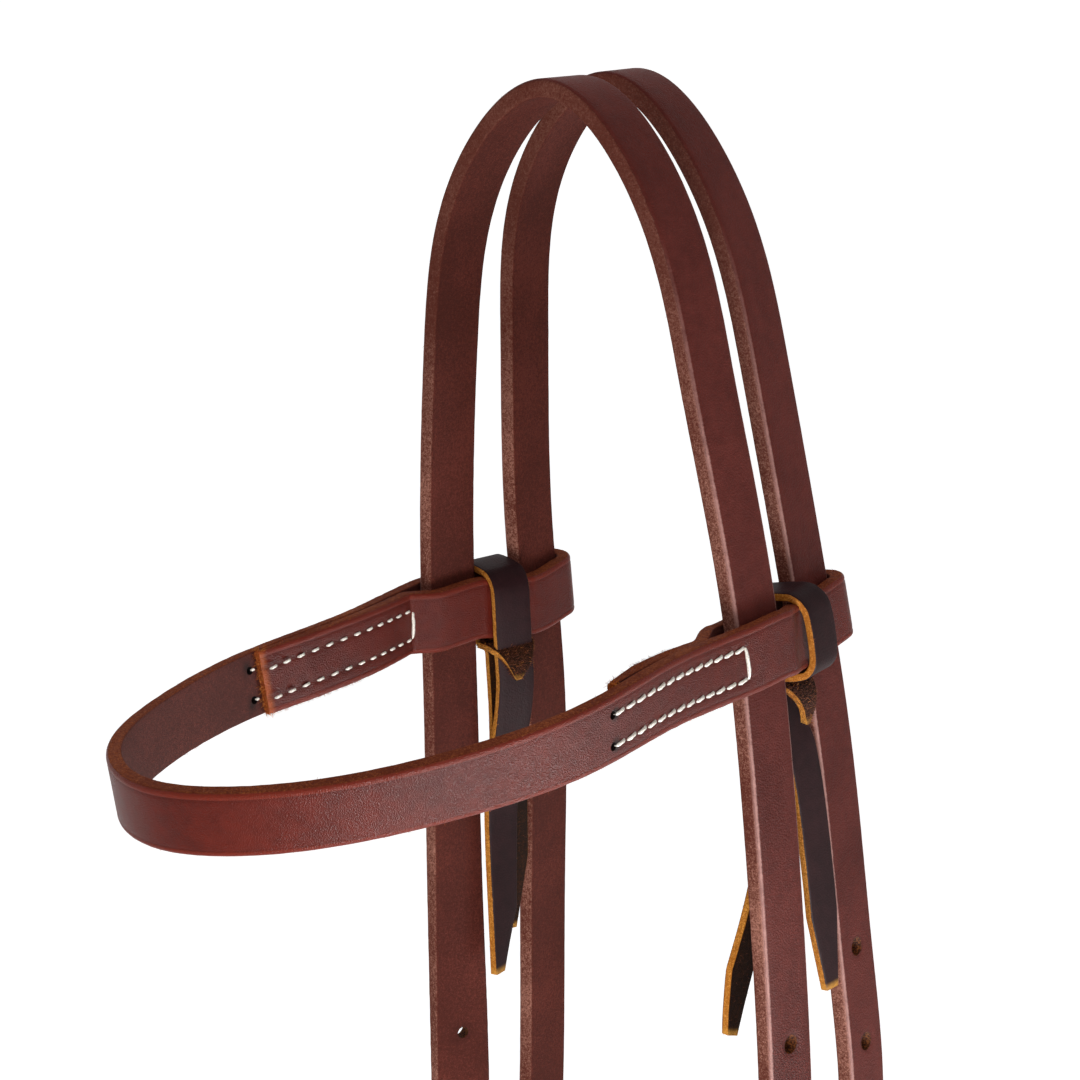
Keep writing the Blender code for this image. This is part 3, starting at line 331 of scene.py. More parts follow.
# %% [markdown]
# The browband. It runs from the left pair of straps round the forehead to the right pair. Each end
# goes round both straps and is folded back along the inside, where it is stitched down.

# %% Browband route
browband_width, browband_thickness = 15.9 * mm, 3.6 * mm
browband_reach, browband_front_shift, browband_front_drop = 148.5 * mm, 3.9 * mm, 143.0 * mm
browband_drops = {1: 126.3 * mm, -1: 134.0 * mm}
# The right end is turned back 3 mm further than its solid, after the photo.
turn_lengths = {1: 53.0 * mm, -1: 63.0 * mm}
inner_turn_settle, inner_turn_places = {1: 14.0 * mm, -1: 9.0 * mm}, 18
# The loops stand 0.25 mm further off the straps than the solids, so that they slide without cutting in.
# Only here does the left end's inner layer hang a little below the outer one, by its sag.
loop_clearance, fold_inset, browband_lean = 1.05 * mm, 2.3 * mm, 0.27
inner_sag = {1: 0.5 * mm, -1: 0.0}
path_slack, loop_reaches, loop_shares = 0.07 * mm, ((-0.5, 0.36), (-0.5, 0.3)), (0.2, 0.8)
layer_off = strap_thickness / 2 + loop_clearance + browband_thickness / 2
layer_step = browband_thickness + seat_gap + 2 * path_slack
fold_reach = strap_width / 2 - fold_inset
browband_sides = {
    1: (61.7 * mm, (0.950, 1.0, 0.853, 0.533), (0.317, 0.537, 0.749, 0.924), (0.08, 0.26, 0.53, 0.81),
        (-0.10, 0.35, 0.95, 1.10)),
    -1: (47.5 * mm, (0.985, 1.0, 0.866, 0.50), (0.291, 0.514, 0.730, 0.916), (0.18, 0.55, 0.90, 1.05),
         (0.45, 0.25, 0.15, 0.50)),
}


def leg_at(points, across, drop, side):
    """Centre, width direction and outward direction of a leg at a height below the poll."""
    along, across, face = path_frame(points, across)
    i = int(np.argmin(np.where(points[:, 0] * side > 0, abs(points[:, 2] + drop), np.inf)))
    out, back = Vector(face[i]), Vector(across[i])
    return Vector(points[i]), back if back.y > 0 else -back, out if out.x * side > 0 else -out


def loop_frames(side, drop):
    """The crown strap's and the throatlatch's leg at a height."""
    return leg_at(crown_run, crown_across, drop, side), leg_at(throat_run, throat_across, drop, side)


def up_strap(back, outward):
    """The direction up a leg."""
    lift = outward.cross(back)
    return lift if lift.z > 0 else -lift


def loop_side(side, drop, out):
    """One layer along both straps, front to back: out is 1 outside, -1 inside."""
    places, lifts = [], []
    for (centre, back, outward), reaches in zip(loop_frames(side, drop), loop_reaches):
        for reach in reaches:
            places.append(centre + outward * layer_off * out + back * strap_width * reach)
            lifts.append(up_strap(back, outward))
    for share in loop_shares:
        places.insert(-2, places[1].lerp(places[-2], share))
        lifts.insert(-2, lifts[1].lerp(lifts[-2], share))
    return places, lifts


def fold_round(side, drop):
    """The fold behind the rear strap, from inside to outside."""
    centre, back, outward = loop_frames(side, drop)[1]
    middle = centre + back * fold_reach
    return ([middle + back * a + outward * o for a, o in arc((0, 0), layer_off, -90, 90, fold_steps)],
            [up_strap(back, outward)] * (fold_steps + 1))


def front_stations():
    """The free arc from left to right: places and height directions."""
    runs = {1: [], -1: []}
    for side, (bulge, spans, reaches, drops, leans) in browband_sides.items():
        drop = browband_drops[side]
        for span, reach, fall, lean in zip(spans, reaches, drops, leans):
            height = -drop + (drop - browband_front_drop) * fall
            runs[side].append((Vector((side * bulge * span, -browband_reach * reach, height)), lean))
    front = (Vector((browband_front_shift, -browband_reach, -browband_front_drop)), 1.0)
    stations = runs[1] + [front] + runs[-1][::-1]
    places, lifts = [spot for spot, lean in stations], []
    for k, (here, lean) in enumerate(stations):
        ahead = places[min(k + 1, len(places) - 1)] - places[max(k - 1, 0)]
        outward = ahead.cross(Vector((0, 0, 1)))
        if outward.dot(here + Vector((0, browband_reach / 2, 0))) < 0:
            outward.negate()
        a = browband_lean * lean
        lifts.append(Vector((0, 0, 1)) * math.cos(a) + outward.normalized() * math.sin(a))
    return places, lifts


def outer_layer():
    """The browband's outer layer, from behind the left straps to behind the right."""
    (left, left_lifts), (right, right_lifts) = (loop_side(s, browband_drops[s], 1) for s in (1, -1))
    front, front_lifts = front_stations()
    firm = [True] * (len(left) - 1) + [False] * (len(front) + 2) + [True] * (len(right) - 1)
    return smooth_path(left[::-1] + front + right, left_lifts[::-1] + front_lifts + right_lifts, firm)


outer_points, outer_across = outer_layer()
_, outer_lifts, outer_faces = path_frame(outer_points, outer_across)
browband_grain = int(np.sign(outer_faces[len(outer_faces) // 2] @ np.array([0, -1, 0])))
outer_faces = outer_faces * browband_grain
outer_length = run_length(outer_points)
loop_at = {}
for side, drop in browband_drops.items():
    corner = np.array(loop_side(side, drop, 1)[0][0])
    loop_at[side] = outer_length[int(np.argmin(np.linalg.norm(outer_points - corner, axis=1)))]


def layer_point(side, ahead, depth, lift=0.0):
    """A point beside the outer layer: so far ahead of the crown strap, so deep, so high."""
    distances = (outer_length - loop_at[side]) * side
    order = np.argsort(distances)

    def read(rows):
        return Vector([np.interp(ahead, distances[order], rows[order, k]) for k in range(3)])

    return read(outer_points) + read(outer_faces) * depth + read(outer_lifts) * lift


def browband_end(side):
    """One folded end: from its cut edge back along the inside and round to the outside."""
    drop, turn_length = browband_drops[side], turn_lengths[side]
    places, lifts = [], []
    for k in range(inner_turn_places + 1):
        ahead = turn_length + (inner_turn_settle[side] - turn_length) * k / inner_turn_places
        places.append(layer_point(side, ahead, -layer_step, -inner_sag[side] * k / inner_turn_places))
        lifts.append(layer_point(side, ahead, 0, 1) - layer_point(side, ahead, 0))
    inside, inside_lifts = loop_side(side, drop, -1)
    inside = [spot - lift * inner_sag[side] * (1 - k / len(inside))
              for k, (spot, lift) in enumerate(zip(inside, inside_lifts))]
    fold, fold_lifts = fold_round(side, drop)
    return smooth_path(places + inside[:-1] + fold, lifts + inside_lifts[:-1] + fold_lifts, True)


left_end, left_end_across = browband_end(1)
right_end, right_end_across = browband_end(-1)
browband_run = np.vstack([left_end[:-1], outer_points, right_end[-2::-1]])
browband_across = np.vstack([left_end_across[:-1], outer_across, right_end_across[-2::-1]])
print("browband cut length, mm:", round(run_length(browband_run)[-1] * 1000))

# %% [markdown]
# The laces. One lace goes round both layers of each loop, between the straps, and is tied on itself:
# one tail hangs inside, one between the straps, and a short flap sticks out below the ring.

# %% Lace routes
# The lace is 0.3 mm narrower than its solid, to slide past the throatlatch with the browband.
lace_width, lace_thickness, lace_corner = 10.5 * mm, 2.0 * mm, 2.2 * mm
flap_width, flap_thickness = 12.5 * mm, 1.8 * mm
top_corner, loose_corner_above, loose_corner_below = 4.6 * mm, 6.0 * mm, 4.5 * mm
lace_straight, tie_clearance = 9.0 * mm, 0.7 * mm
tie_clearance_above, tie_clearance_below = 1.6 * mm, 0.7 * mm
tail_clearance, outer_tail_inset, lace_bulge = 1.1 * mm, 3.6 * mm, 1.1 * mm
# For each side: where the inner tail ends, where its middle hangs, how it turns, and for the outer tail
# its length, how far back and out it hangs, and how the ring's outside and the tail turn to the front.
lace_sides = {
    1: ((-1.9 * mm, -18.4 * mm, -97.0 * mm), (-0.2 * mm, -4.6 * mm, -54.0 * mm), -0.36,
        92.0 * mm, (0.75, 1.0, 1.0), 0.4 * mm, -0.26, -0.38),
    -1: ((6.2 * mm, -3.4 * mm, -97.5 * mm), (5.3 * mm, -3.6 * mm, -55.0 * mm), 0.5,
         90.0 * mm, (-0.35, -0.35, -0.35), -3.6 * mm, 0.0, 0.0),
}


def gap_middle(side, drop):
    """The middle of the gap between the two straps at a height."""
    (front, front_back, _), (rear, rear_back, _) = loop_frames(side, drop)
    return (front + rear + (front_back - rear_back) * strap_width / 2) / 2


def tie_axes(side):
    """A frame between the straps: X outward, Z up the gap."""
    drop = browband_drops[side]
    middle = gap_middle(side, drop)
    i = int(np.argmin(np.linalg.norm(outer_points - np.array(middle), axis=1)))
    outward = Vector(outer_faces[i])
    lift = gap_middle(side, drop - browband_width / 2) - gap_middle(side, drop + browband_width / 2)
    lift = (lift - outward * lift.dot(outward)).normalized()
    matrix = Matrix((outward, lift.cross(outward), lift)).transposed().to_4x4()
    return Matrix.Translation(Vector(outer_points[i]) - outward * layer_off) @ matrix


half_out = layer_off + browband_thickness / 2 + tie_clearance + lace_thickness / 2
half_up = browband_width / 2 + tie_clearance_above + lace_thickness / 2
half_down = browband_width / 2 + tie_clearance_below + lace_thickness / 2


def lace_ring():
    """The turn over both layers and under them, as points of out and up."""
    r, inner, above, below = lace_corner, top_corner, loose_corner_above, loose_corner_below
    out = half_out + lace_bulge
    ring = [(-half_out, -half_up - lace_straight), (-half_out, -half_up)]
    for centre, radius, start, end in (((inner - half_out, half_up - inner), inner, 180, 90),
                                       ((out - above, half_up - above), above, 90, 0),
                                       ((out - below, below - half_down), below, 0, -90),
                                       ((r - outer_tail_inset, -half_down - r), r, 90, 180)):
        bend = [Vector(spot) for spot in arc(centre, radius, start, end, 8)]
        ring += [tuple(bend[0] * 2 - bend[1]), *(tuple(spot) for spot in bend),
                 tuple(bend[-1] * 2 - bend[-2])]
    return ring


def outer_tail(side, tail_length, shares, out):
    """The tail that hangs between the straps."""
    places = []
    for k, share in enumerate(shares):
        (front, front_back, front_out), (rear, rear_back, rear_out) = loop_frames(
            side, browband_drops[side] + tail_length * (k + 1) / len(shares))
        ahead, behind = front + front_back * strap_width / 2, rear - rear_back * strap_width / 2
        beside = behind - (behind - ahead).normalized() * (lace_width / 2 + tail_clearance)
        outset = -outer_tail_inset + (out + outer_tail_inset) * share
        places.append(((ahead + behind) / 2).lerp(beside, share)
                      + (front_out + rear_out).normalized() * outset)
    return places


def lace_route(side):
    """The whole lace: inner tail, ring and outer tail."""
    inner_tip, inner_middle, inner_turn, length, shares, out, ring_turn, tail_turn = lace_sides[side]
    tie = tie_axes(side)
    across = tie.to_3x3() @ Vector((0, 1, 0))
    flat = lace_ring()
    ring = [tie @ Vector((x, 0, z)) for x, z in flat]
    outer = outer_tail(side, length, shares, out)
    turns = [inner_turn, inner_turn / 2, *(ring_turn * min(max((x + half_out / 2) / half_out, 0), 1)
                                           for x, z in flat), *([tail_turn] * len(outer))]
    widths = [Matrix.Rotation(turn, 3, "Z") @ across for turn in turns]
    tail = [tie.translation + Vector(spot) for spot in (inner_tip, inner_middle)]
    return smooth_path(tail + ring + outer, widths, True)


# For each side: how far out the flap reaches, which way, how high its top lies and how long it hangs.
flap_reach = {1: (3.6 * mm, 1, -half_down - 2.4 * mm, 10.5 * mm),
              -1: (half_out + 2.2 * mm, -1, -half_down + 0.4 * mm, 8.2 * mm)}


def knot_flap(side):
    """The end of the lace, pulled out under the ring and folded down, as points of out and up."""
    out, sign, top, length = flap_reach[side]
    flat = [(out - 10.0 * mm, top - 0.4 * mm), (out - 5.0 * mm, top), (out - 1.6 * mm, top - 0.5 * mm),
            (out, top - length * 0.3), (out + 0.1 * mm, top - length * 0.62), (out - 0.9 * mm, top - length)]
    return [(x * sign, z) for x, z in flat]


print("lace frames, mm:", [[round(x * 1000, 1) for x in tie_axes(s).translation] for s in (1, -1)])

# %% [markdown]
# Sweeping a strap. The section has a flat grain side, rounded corners and a flat flesh side. Each corner
# of the mesh keeps two maps: "run" is how far along the leather a point is and how far from a cut end,
# and "wall" is its place across the strap and how far it is turned from the grain side (0) past the
# cut edge (0.5) to the flesh side (1). The materials read these, so grain, edge and suede stay in place.

# %% Strap sweep
row_step, row_turn, full_press = 2.0 * mm, math.radians(7), 0.35 * mm
ragged, ragged_scale = 0.09 * mm, 2.2 * mm
flat_margin, flesh_columns = 0.2 * mm, (-0.6, -0.2, 0.2, 0.6)


def strap_section(width, thickness, grain_radius, flesh_radius, places, steps=4):
    """Offsets across and through, and the turn share, all round: places are flat columns' offsets."""
    half = width / 2

    def corner(sx, sy, radius, start):
        return arc((sx * (half - radius), sy * (thickness / 2 - radius)), radius, start, start + 90, steps)

    flat = sorted({round(p, 6) for p in places if abs(p) < half - grain_radius - flat_margin})
    rows = [(p, thickness / 2) for p in reversed(flat)]
    rows += [*corner(-1, 1, grain_radius, 90), (-half, 0.0), *corner(-1, -1, flesh_radius, 180)]
    rows += [(p * half, -thickness / 2) for p in flesh_columns]
    rows += [*corner(1, -1, flesh_radius, 270), (half, 0.0), *corner(1, 1, grain_radius, 0)]
    outline = []
    for x, y in rows:
        radius = grain_radius if y > 0 else flesh_radius
        inward = Vector((max(abs(x) - half + radius, 0), max(abs(y) - thickness / 2 + radius, 0)))
        if inward.length < 1e-9:
            turned = 0.0 if y > 0 else 180.0
        else:
            turned = math.degrees(math.atan2(inward.x, inward.y * (1 if y > 0 else -1)))
            turned = 90.0 if abs(y) < 1e-9 else turned
        outline.append((x, y, turned / 180))
    return np.array(outline)


def rows_of(points, across, marks=(), fine=0.6 * mm, reach=4.0 * mm):
    """Which dense places to keep as rows: more on bends and beside the marks."""
    along, across, _ = path_frame(points, across)
    length = run_length(points)
    step = np.diff(length)
    bend = np.maximum(*(np.linalg.norm(np.diff(vectors, axis=0), axis=1) for vectors in (along, across)))
    middle = (length[1:] + length[:-1]) / 2
    near = np.zeros(len(step))
    for low, high in marks:
        near[(middle > low - reach) & (middle < high + reach)] = 1
    need = np.concatenate([[0], np.cumsum(step / row_step + bend / row_turn + near * step / fine)])
    kept = np.unique(np.searchsorted(need, np.arange(0, need[-1], 1.0)))
    return sorted(set(kept.tolist()) | {0, len(points) - 1})


def unevenness(spots, size, scale):
    """Small even-handed noise at each place, for hand-cut leather."""
    values = [noise.noise(Vector(p) / scale) for p in spots.reshape(-1, 3)]
    return np.array(values).reshape(spots.shape[:-1]) * size


def sweep(name, points, across, width, thickness, radii, grain=1, ends=(0, 0), places=(0.0,), marks=(),
          press=None, stain=None, slants=(None, None), skive=None):
    """A strap as a closed mesh. press and stain give, for run and across, how deep the grain side is
    pressed in and how dark it is stained. slants gives each end's (length, share left, side kept), and
    skive(run) how much of the thickness is left."""
    _, side, face = path_frame(points, across)
    length = run_length(points)
    kept = rows_of(points, across, marks)
    for near, radius, slant in zip((length, length[-1] - length), ends, slants):
        kept = sorted(set(kept) | set(np.nonzero(near < max(radius, slant[0] if slant else 0))[0].tolist()))
    kept = np.array(kept)
    outline = strap_section(width, thickness, *radii, places)
    u, v, turned = outline.T
    narrow, shift = np.ones(len(kept)), np.zeros(len(kept))
    for near, radius, slant in zip((length[kept], length[-1] - length[kept]), ends, slants):
        if slant:
            taken = (1 - slant[1]) * np.clip(1 - near / slant[0], 0, 1)
            narrow, shift = narrow - taken, shift + slant[2] * taken * width / 2
        if radius:
            inside = near < radius
            narrow[inside] *= tip_share + (1 - tip_share) * np.sqrt(1 - (1 - near[inside] / radius) ** 2)
    run = np.repeat(length[kept][:, None], len(u), axis=1)
    offset_u = narrow[:, None] * u[None, :] + shift[:, None]
    offset_v = np.repeat(v[None, :], len(kept), axis=0)
    if skive:
        left = skive(length[kept])[:, None]
        offset_v = offset_v * left + (left - 1) * thickness / 2
    pressed = press(run, offset_u) if press else np.zeros(run.shape)
    stained = stain(run, offset_u) if stain else np.zeros(run.shape)
    offset_v = offset_v - pressed * (turned[None, :] < 0.3)
    spots = (points[kept][:, None] + side[kept][:, None] * offset_u[..., None]
             + face[kept][:, None] * (offset_v * grain)[..., None])
    wobble = unevenness(spots, ragged, ragged_scale) * np.sin(turned * math.pi)[None, :]
    spots = spots + side[kept][:, None] * (wobble * np.sign(u)[None, :])[..., None]
    rows, columns = spots.shape[:2]
    faces = []
    for r in range(rows - 1):
        for c in range(columns):
            d = (c + 1) % columns
            faces.append((r * columns + c, r * columns + d, (r + 1) * columns + d, (r + 1) * columns + c))
    faces += [tuple(range(columns)), tuple(range((rows - 1) * columns, rows * columns))]
    data = bpy.data.meshes.new(name)
    data.from_pydata(spots.reshape(-1, 3).tolist(), [], faces)
    cut = np.repeat(np.minimum(length[kept], length[-1] - length[kept])[:, None], columns, axis=1)
    share = np.repeat((u / (width / 2))[None, :], rows, axis=0)
    turn = np.repeat(turned[None, :], rows, axis=0)
    corners = np.array([loop.vertex_index for loop in data.loops])
    for label, first, second in (("run", run, cut), ("wall", share, turn),
                                 ("wear", stained, pressed / full_press)):
        layer = data.uv_layers.new(name=label)
        pair = np.stack([first.ravel()[corners], second.ravel()[corners]], axis=1)
        if label == "wall":
            pair[-2 * columns:, 1] = 0.5
        layer.data.foreach_set("uv", pair.astype(np.float32).ravel())
    mesh = bmesh.new()
    mesh.from_mesh(data)
    bmesh.ops.recalc_face_normals(mesh, faces=mesh.faces)
    mesh.to_mesh(data)
    mesh.free()
    return put(name, data)


def put(name, data):
    """Put a mesh, a light or a camera in the scene."""
    made = bpy.data.objects.new(name, data)
    bpy.context.scene.collection.objects.link(made)
    return made


def piece(name, mesh):
    """Put a mesh that is being built in the scene."""
    data = bpy.data.meshes.new(name)
    mesh.to_mesh(data)
    mesh.free()
    return put(name, data)


def skin(name, rings, closed=False):
    """A skin over rings of points, with a face over each end unless it closes on itself."""
    mesh = bmesh.new()
    rings = [[mesh.verts.new(spot) for spot in ring] for ring in rings]
    for first, second in zip(rings, rings[1:] + (rings[:1] if closed else [])):
        for j in range(len(first)):
            k = (j + 1) % len(first)
            mesh.faces.new((first[j], first[k], second[k], second[j]))
    if not closed:
        mesh.faces.new(rings[0][::-1])
        mesh.faces.new(rings[-1])
    bmesh.ops.recalc_face_normals(mesh, faces=mesh.faces)
    return piece(name, mesh)


def settle(made, sharp=40):
    """Turn the modifiers into the mesh, and shade smooth up to an angle."""
    graph = bpy.context.evaluated_depsgraph_get()
    graph.update()
    data = bpy.data.meshes.new_from_object(made.evaluated_get(graph), preserve_all_data_layers=True,
                                           depsgraph=graph)
    made.modifiers.clear()
    made.data = data
    data.shade_smooth()
    data.set_sharp_from_angle(angle=math.radians(sharp))
    return made


def cut(made, cutter):
    """Take a cutting shape out of a piece, and the shape out of the scene."""
    knife = made.modifiers.new(cutter.name, "BOOLEAN")
    knife.operation, knife.solver, knife.object = "DIFFERENCE", "EXACT", cutter
    settle(made)
    data = cutter.data
    bpy.data.objects.remove(cutter)
    bpy.data.meshes.remove(data)


def punched(made, cutters, name):
    """Take cutting shapes out of a piece. Their walls get the piece's second material."""
    mesh = bmesh.new()
    for matrix, diameter, depth, sides, *narrow in cutters:
        bmesh.ops.create_cone(mesh, cap_ends=True, segments=sides, radius1=diameter / 2,
                              radius2=(narrow[0] if narrow else diameter) / 2, depth=depth, matrix=matrix)
    for face in mesh.faces:
        face.material_index = 1
    cut(made, piece(name, mesh))


def toward(centre, direction):
    """A matrix at a place with its Z along a direction."""
    return Matrix.Translation(Vector(centre)) @ Vector(direction).to_track_quat("Z", "Y").to_matrix().to_4x4()

# %% [markdown]
# Leather. Harness leather is cowhide tanned with bark and oils and dyed through: the grain side is
# smooth with fine pores and a low gloss, the cut edge is a felt of pale and dark fibres, and the flesh
# side is dull and fuzzy. One tree makes all three and mixes them by the "wall" map, so the change from
# grain to edge follows the corner of the strap with a slightly uneven line, as a beveller leaves it.

# %% Colours and nodes


def srgb(code):
    """A colour written as hex, turned to the linear numbers that the shaders work with."""
    parts = [int(code[i:i + 2], 16) / 255 for i in (1, 3, 5)]
    return (*(c / 12.92 if c <= 0.04045 else ((c + 0.055) / 1.055) ** 2.4 for c in parts), 1.0)


def add(tree, kind, inputs=(), out=0, **settings):
    """Add a node with its settings and inputs, and give one of its outputs, or the node if out is None.
    An input is a socket to join or a value to set, in order or by name or number."""
    made = tree.nodes.new(kind)
    for key, value in settings.items():
        setattr(made, key, value)
    join(tree, made, inputs)
    return made if out is None else made.outputs[out]


def join(tree, made, inputs):
    """Join or set a node's inputs."""
    for key, value in (inputs.items() if isinstance(inputs, dict) else enumerate(inputs)):
        if isinstance(value, bpy.types.NodeSocket):
            tree.links.new(value, made.inputs[key])
        else:
            made.inputs[key].default_value = value


def fresh_material(name):
    """A new material, its tree and its shader."""
    made = bpy.data.materials.new(name)
    made.use_nodes = True
    tree = made.node_tree
    return made, tree, tree.nodes["Principled BSDF"]


MATH, MIX, RANGE, NOISE = "ShaderNodeMath", "ShaderNodeMix", "ShaderNodeMapRange", "ShaderNodeTexNoise"
COORDINATES, SPLIT, BUMP = "ShaderNodeTexCoord", "ShaderNodeSeparateXYZ", "ShaderNodeBump"
SMOOTH, RGBA = {"interpolation_type": "SMOOTHSTEP"}, {"data_type": "RGBA"}
MULTIPLY, MULTIPLY_ADD, SUBTRACT, MAXIMUM = (
    {"operation": label} for label in ("MULTIPLY", "MULTIPLY_ADD", "SUBTRACT", "MAXIMUM"))
print("node kinds in use:", len({MATH, MIX, RANGE, NOISE, COORDINATES, SPLIT, BUMP}))

# %% Leather
bump_distance, felt_roughness = 0.2 * mm, 0.75
pressed_shade_black, wax_black = srgb("#2a0f0b"), srgb("#140907")


def leather(name, grain, edge, flesh, gloss, pore, pore_depth, level, line=0.25, burnish=None, cut=None,
            corner_highlight=None):
    """Grain, cut edge and flesh of one strap, each a pair of colours, dark and light. Pore is how far
    apart the pores are, line where the grain ends on the corner, and the rest are marks: burnished
    borders and fresh cut ends, and a painted highlight on the corners of the legs with painted shade
    on the edges over the arch."""
    made, tree, shader = fresh_material(name)
    place = add(tree, COORDINATES, out="Object")
    wall, run, wear = (add(tree, SPLIT, (add(tree, "ShaderNodeUVMap", uv_map=label),), None).outputs
                       for label in ("wall", "run", "wear"))
    share, turned = add(tree, MATH, (wall[0],), operation="ABSOLUTE"), wall[1]
    broad, patchy, fibre, fuzz, fine = (
        add(tree, NOISE, {"Vector": place, "Scale": 1 / size, "Detail": detail, "Roughness": rough})
        for size, detail, rough in ((26 * mm, 3, 0.6), (3 * mm, 5, 0.6), (0.35 * mm, 3, 0.75),
                                    (0.8 * mm, 4, 0.8), (pore * 0.45, 2, 0.6)))
    # The two lines between grain, cut edge and flesh wander by a little fuzz.
    uneven = add(tree, MATH, (fuzz, 0.2, add(tree, MATH, (turned, 0.1), **SUBTRACT)), **MULTIPLY_ADD)
    raw = add(tree, RANGE, (uneven, line, line + 0.08), **SMOOTH)
    back = add(tree, RANGE, (uneven, 0.66, 0.86), **SMOOTH)
    cells = add(tree, "ShaderNodeTexVoronoi", {"Vector": place, "Scale": 1 / pore, "Randomness": 1.0})

    # The grain is darker and lighter in broad patches, small ones and pores.
    tone = add(tree, MATH, (patchy, 0.5, add(tree, MATH, (broad, 0.7), **MULTIPLY)), **MULTIPLY_ADD)
    tone = add(tree, MATH, (fine, 0.3, tone), **MULTIPLY_ADD)
    tone = add(tree, RANGE, (tone, 0.5, 1.0), **SMOOTH)
    grain_colour = add(tree, MIX, {0: tone, 6: srgb(grain[0]), 7: srgb(grain[1])}, 2, **RGBA)
    # Edge and flesh are a felt of dark and light fibres.
    tufts = add(tree, MATH, (fuzz, 0.55, add(tree, MATH, (fibre, 0.6), **MULTIPLY)), **MULTIPLY_ADD)
    tufts = add(tree, MATH, (broad, 0.35, add(tree, MATH, (tufts, 0.17), **SUBTRACT)), **MULTIPLY_ADD)
    fibres = add(tree, RANGE, (tufts, 0.48, 0.8), **SMOOTH)
    edge_colour, flesh_colour = (add(tree, MIX, {0: fibres, 6: srgb(dark), 7: srgb(light)}, 2, **RGBA)
                                 for dark, light in (edge, flesh))
    if burnish:
        band = add(tree, RANGE, (share, 0.80, 0.84, 0.0, 0.7), **SMOOTH)
        grain_colour = add(tree, MIX, {0: band, 6: grain_colour, 7: srgb(burnish)}, 2, **RGBA)
    # A pale line along the grain corner of the legs is a painted highlight, not wear.
    if corner_highlight:
        corner = add(tree, MATH, (add(tree, RANGE, (uneven, 0.05, 0.17), **SMOOTH),
                                  add(tree, RANGE, (uneven, 0.48, 0.22), **SMOOTH)), **MULTIPLY)
        corner = add(tree, MATH, (corner, add(tree, MATH, (patchy, 1.0, 0.12), **MULTIPLY_ADD)),
                     **MULTIPLY, use_clamp=True)
        # The painted highlight comes in below the arch over the poll, where the lower legs catch the light.
        lit_below_arch = add(tree, RANGE, (add(tree, SPLIT, (place,), "Z"), -30 * mm, -100 * mm))
        corner = add(tree, MATH, (corner, lit_below_arch), **MULTIPLY)
        # Over the arch the edge colour is painted darker, as painted shade.
        painted_arch_shade = add(tree, MATH, (add(tree, MATH, (1.0, lit_below_arch), **SUBTRACT), 0.7), **MULTIPLY)
        edge_colour = add(tree, MIX, {0: painted_arch_shade, 6: edge_colour, 7: srgb(edge[0])}, 2, **RGBA)
        grain_colour, edge_colour = (add(tree, MIX, {0: corner, 6: colour, 7: srgb(corner_highlight)}, 2, **RGBA)
                                     for colour in (grain_colour, edge_colour))
    colour = add(tree, MIX, {0: raw, 6: grain_colour, 7: edge_colour}, 2, **RGBA)
    colour = add(tree, MIX, {0: back, 6: colour, 7: flesh_colour}, 2, **RGBA)
    if cut:
        fresh = add(tree, MATH, (add(tree, RANGE, (run[1], 2.2 * mm, 0.3 * mm), **SMOOTH),
                                 add(tree, MATH, (fibres, 0.45, 0.55), **MULTIPLY_ADD)), **MULTIPLY)
        colour = add(tree, MIX, {0: fresh, 6: colour, 7: srgb(cut)}, 2, **RGBA)
    # Pressed leather darkens, and in the grooves, creases and hole rims this darkening is partly painted
    # shade. Wax from the awl blackens it.
    pressed = add(tree, MATH, (wear[1], 0.4), **MULTIPLY)
    colour = add(tree, MIX, {0: pressed, 6: colour, 7: pressed_shade_black}, 2, **RGBA)
    smudge = add(tree, MATH, (wear[0], add(tree, MATH, (fuzz, 1.2, 0.3), **MULTIPLY_ADD)),
                 **MULTIPLY, use_clamp=True)
    colour = add(tree, MIX, {0: smudge, 6: colour, 7: wax_black}, 2, **RGBA)

    # Pebbles stand on the grain, and a deeper felt on edge and flesh.
    rough = add(tree, MATH, (raw, back), **MAXIMUM)
    grain_rough = add(tree, MATH, (patchy, 0.16, gloss - 0.08), **MULTIPLY_ADD)
    pebble = add(tree, MATH, (fine, 0.7, cells), **MULTIPLY_ADD)
    pebble = add(tree, MATH, (pebble, add(tree, MATH, (1.0, rough), **SUBTRACT)), **MULTIPLY)
    felt = add(tree, MATH, (add(tree, MATH, (fibre, fuzz)), rough), **MULTIPLY)
    felt = add(tree, MATH, (felt, 1.6), **MULTIPLY)
    height = add(tree, MATH, (pebble, pore_depth / bump_distance, felt), **MULTIPLY_ADD)
    bump = add(tree, BUMP, {"Height": height, "Distance": bump_distance, "Strength": 0.9})
    roughness = add(tree, MIX, {0: rough, 2: grain_rough, 3: felt_roughness})
    join(tree, shader, {"Base Color": colour, "Roughness": roughness, "Specular IOR Level": level,
                        "Sheen Weight": 0.012, "Sheen Roughness": 0.4, "Sheen Tint": srgb("#ffd8cf"),
                        "Normal": bump})
    return made


# %% The finishes
# Oiled harness leather: dyed reddish brown, matte, pores about 0.5 mm apart. Its pale pink corner colour is a
# painted highlight.
harness = leather("oiled_harness_leather", ("#4b1d18", "#602a24"), ("#5f2e24", "#b8806e"),
                  ("#4e241d", "#73372d"), 0.5, 0.5 * mm, 0.13 * mm, 0.035, corner_highlight="#c4938a")
# The browband is polished harness leather: glossier, with a pebbled grain and burnished borders.
polished = leather("polished_harness_leather", ("#48130b", "#621d12"), ("#5e2413", "#a0552e"),
                   ("#47201a", "#6a3229"), 0.36, 0.32 * mm, 0.15 * mm, 0.065, line=0.3,
                   burnish="#74281a", cut="#b0551f")
# Latigo lace: tanned with alum and wax, near black outside, with an undyed orange core at its edges.
latigo = leather("dark_latigo_lace", ("#1f1012", "#2f191b"), ("#a8621f", "#f2a94e"),
                 ("#180e0a", "#42230f"), 0.5, 0.5 * mm, 0.05 * mm, 0.035, line=0.27, cut="#d89a45")


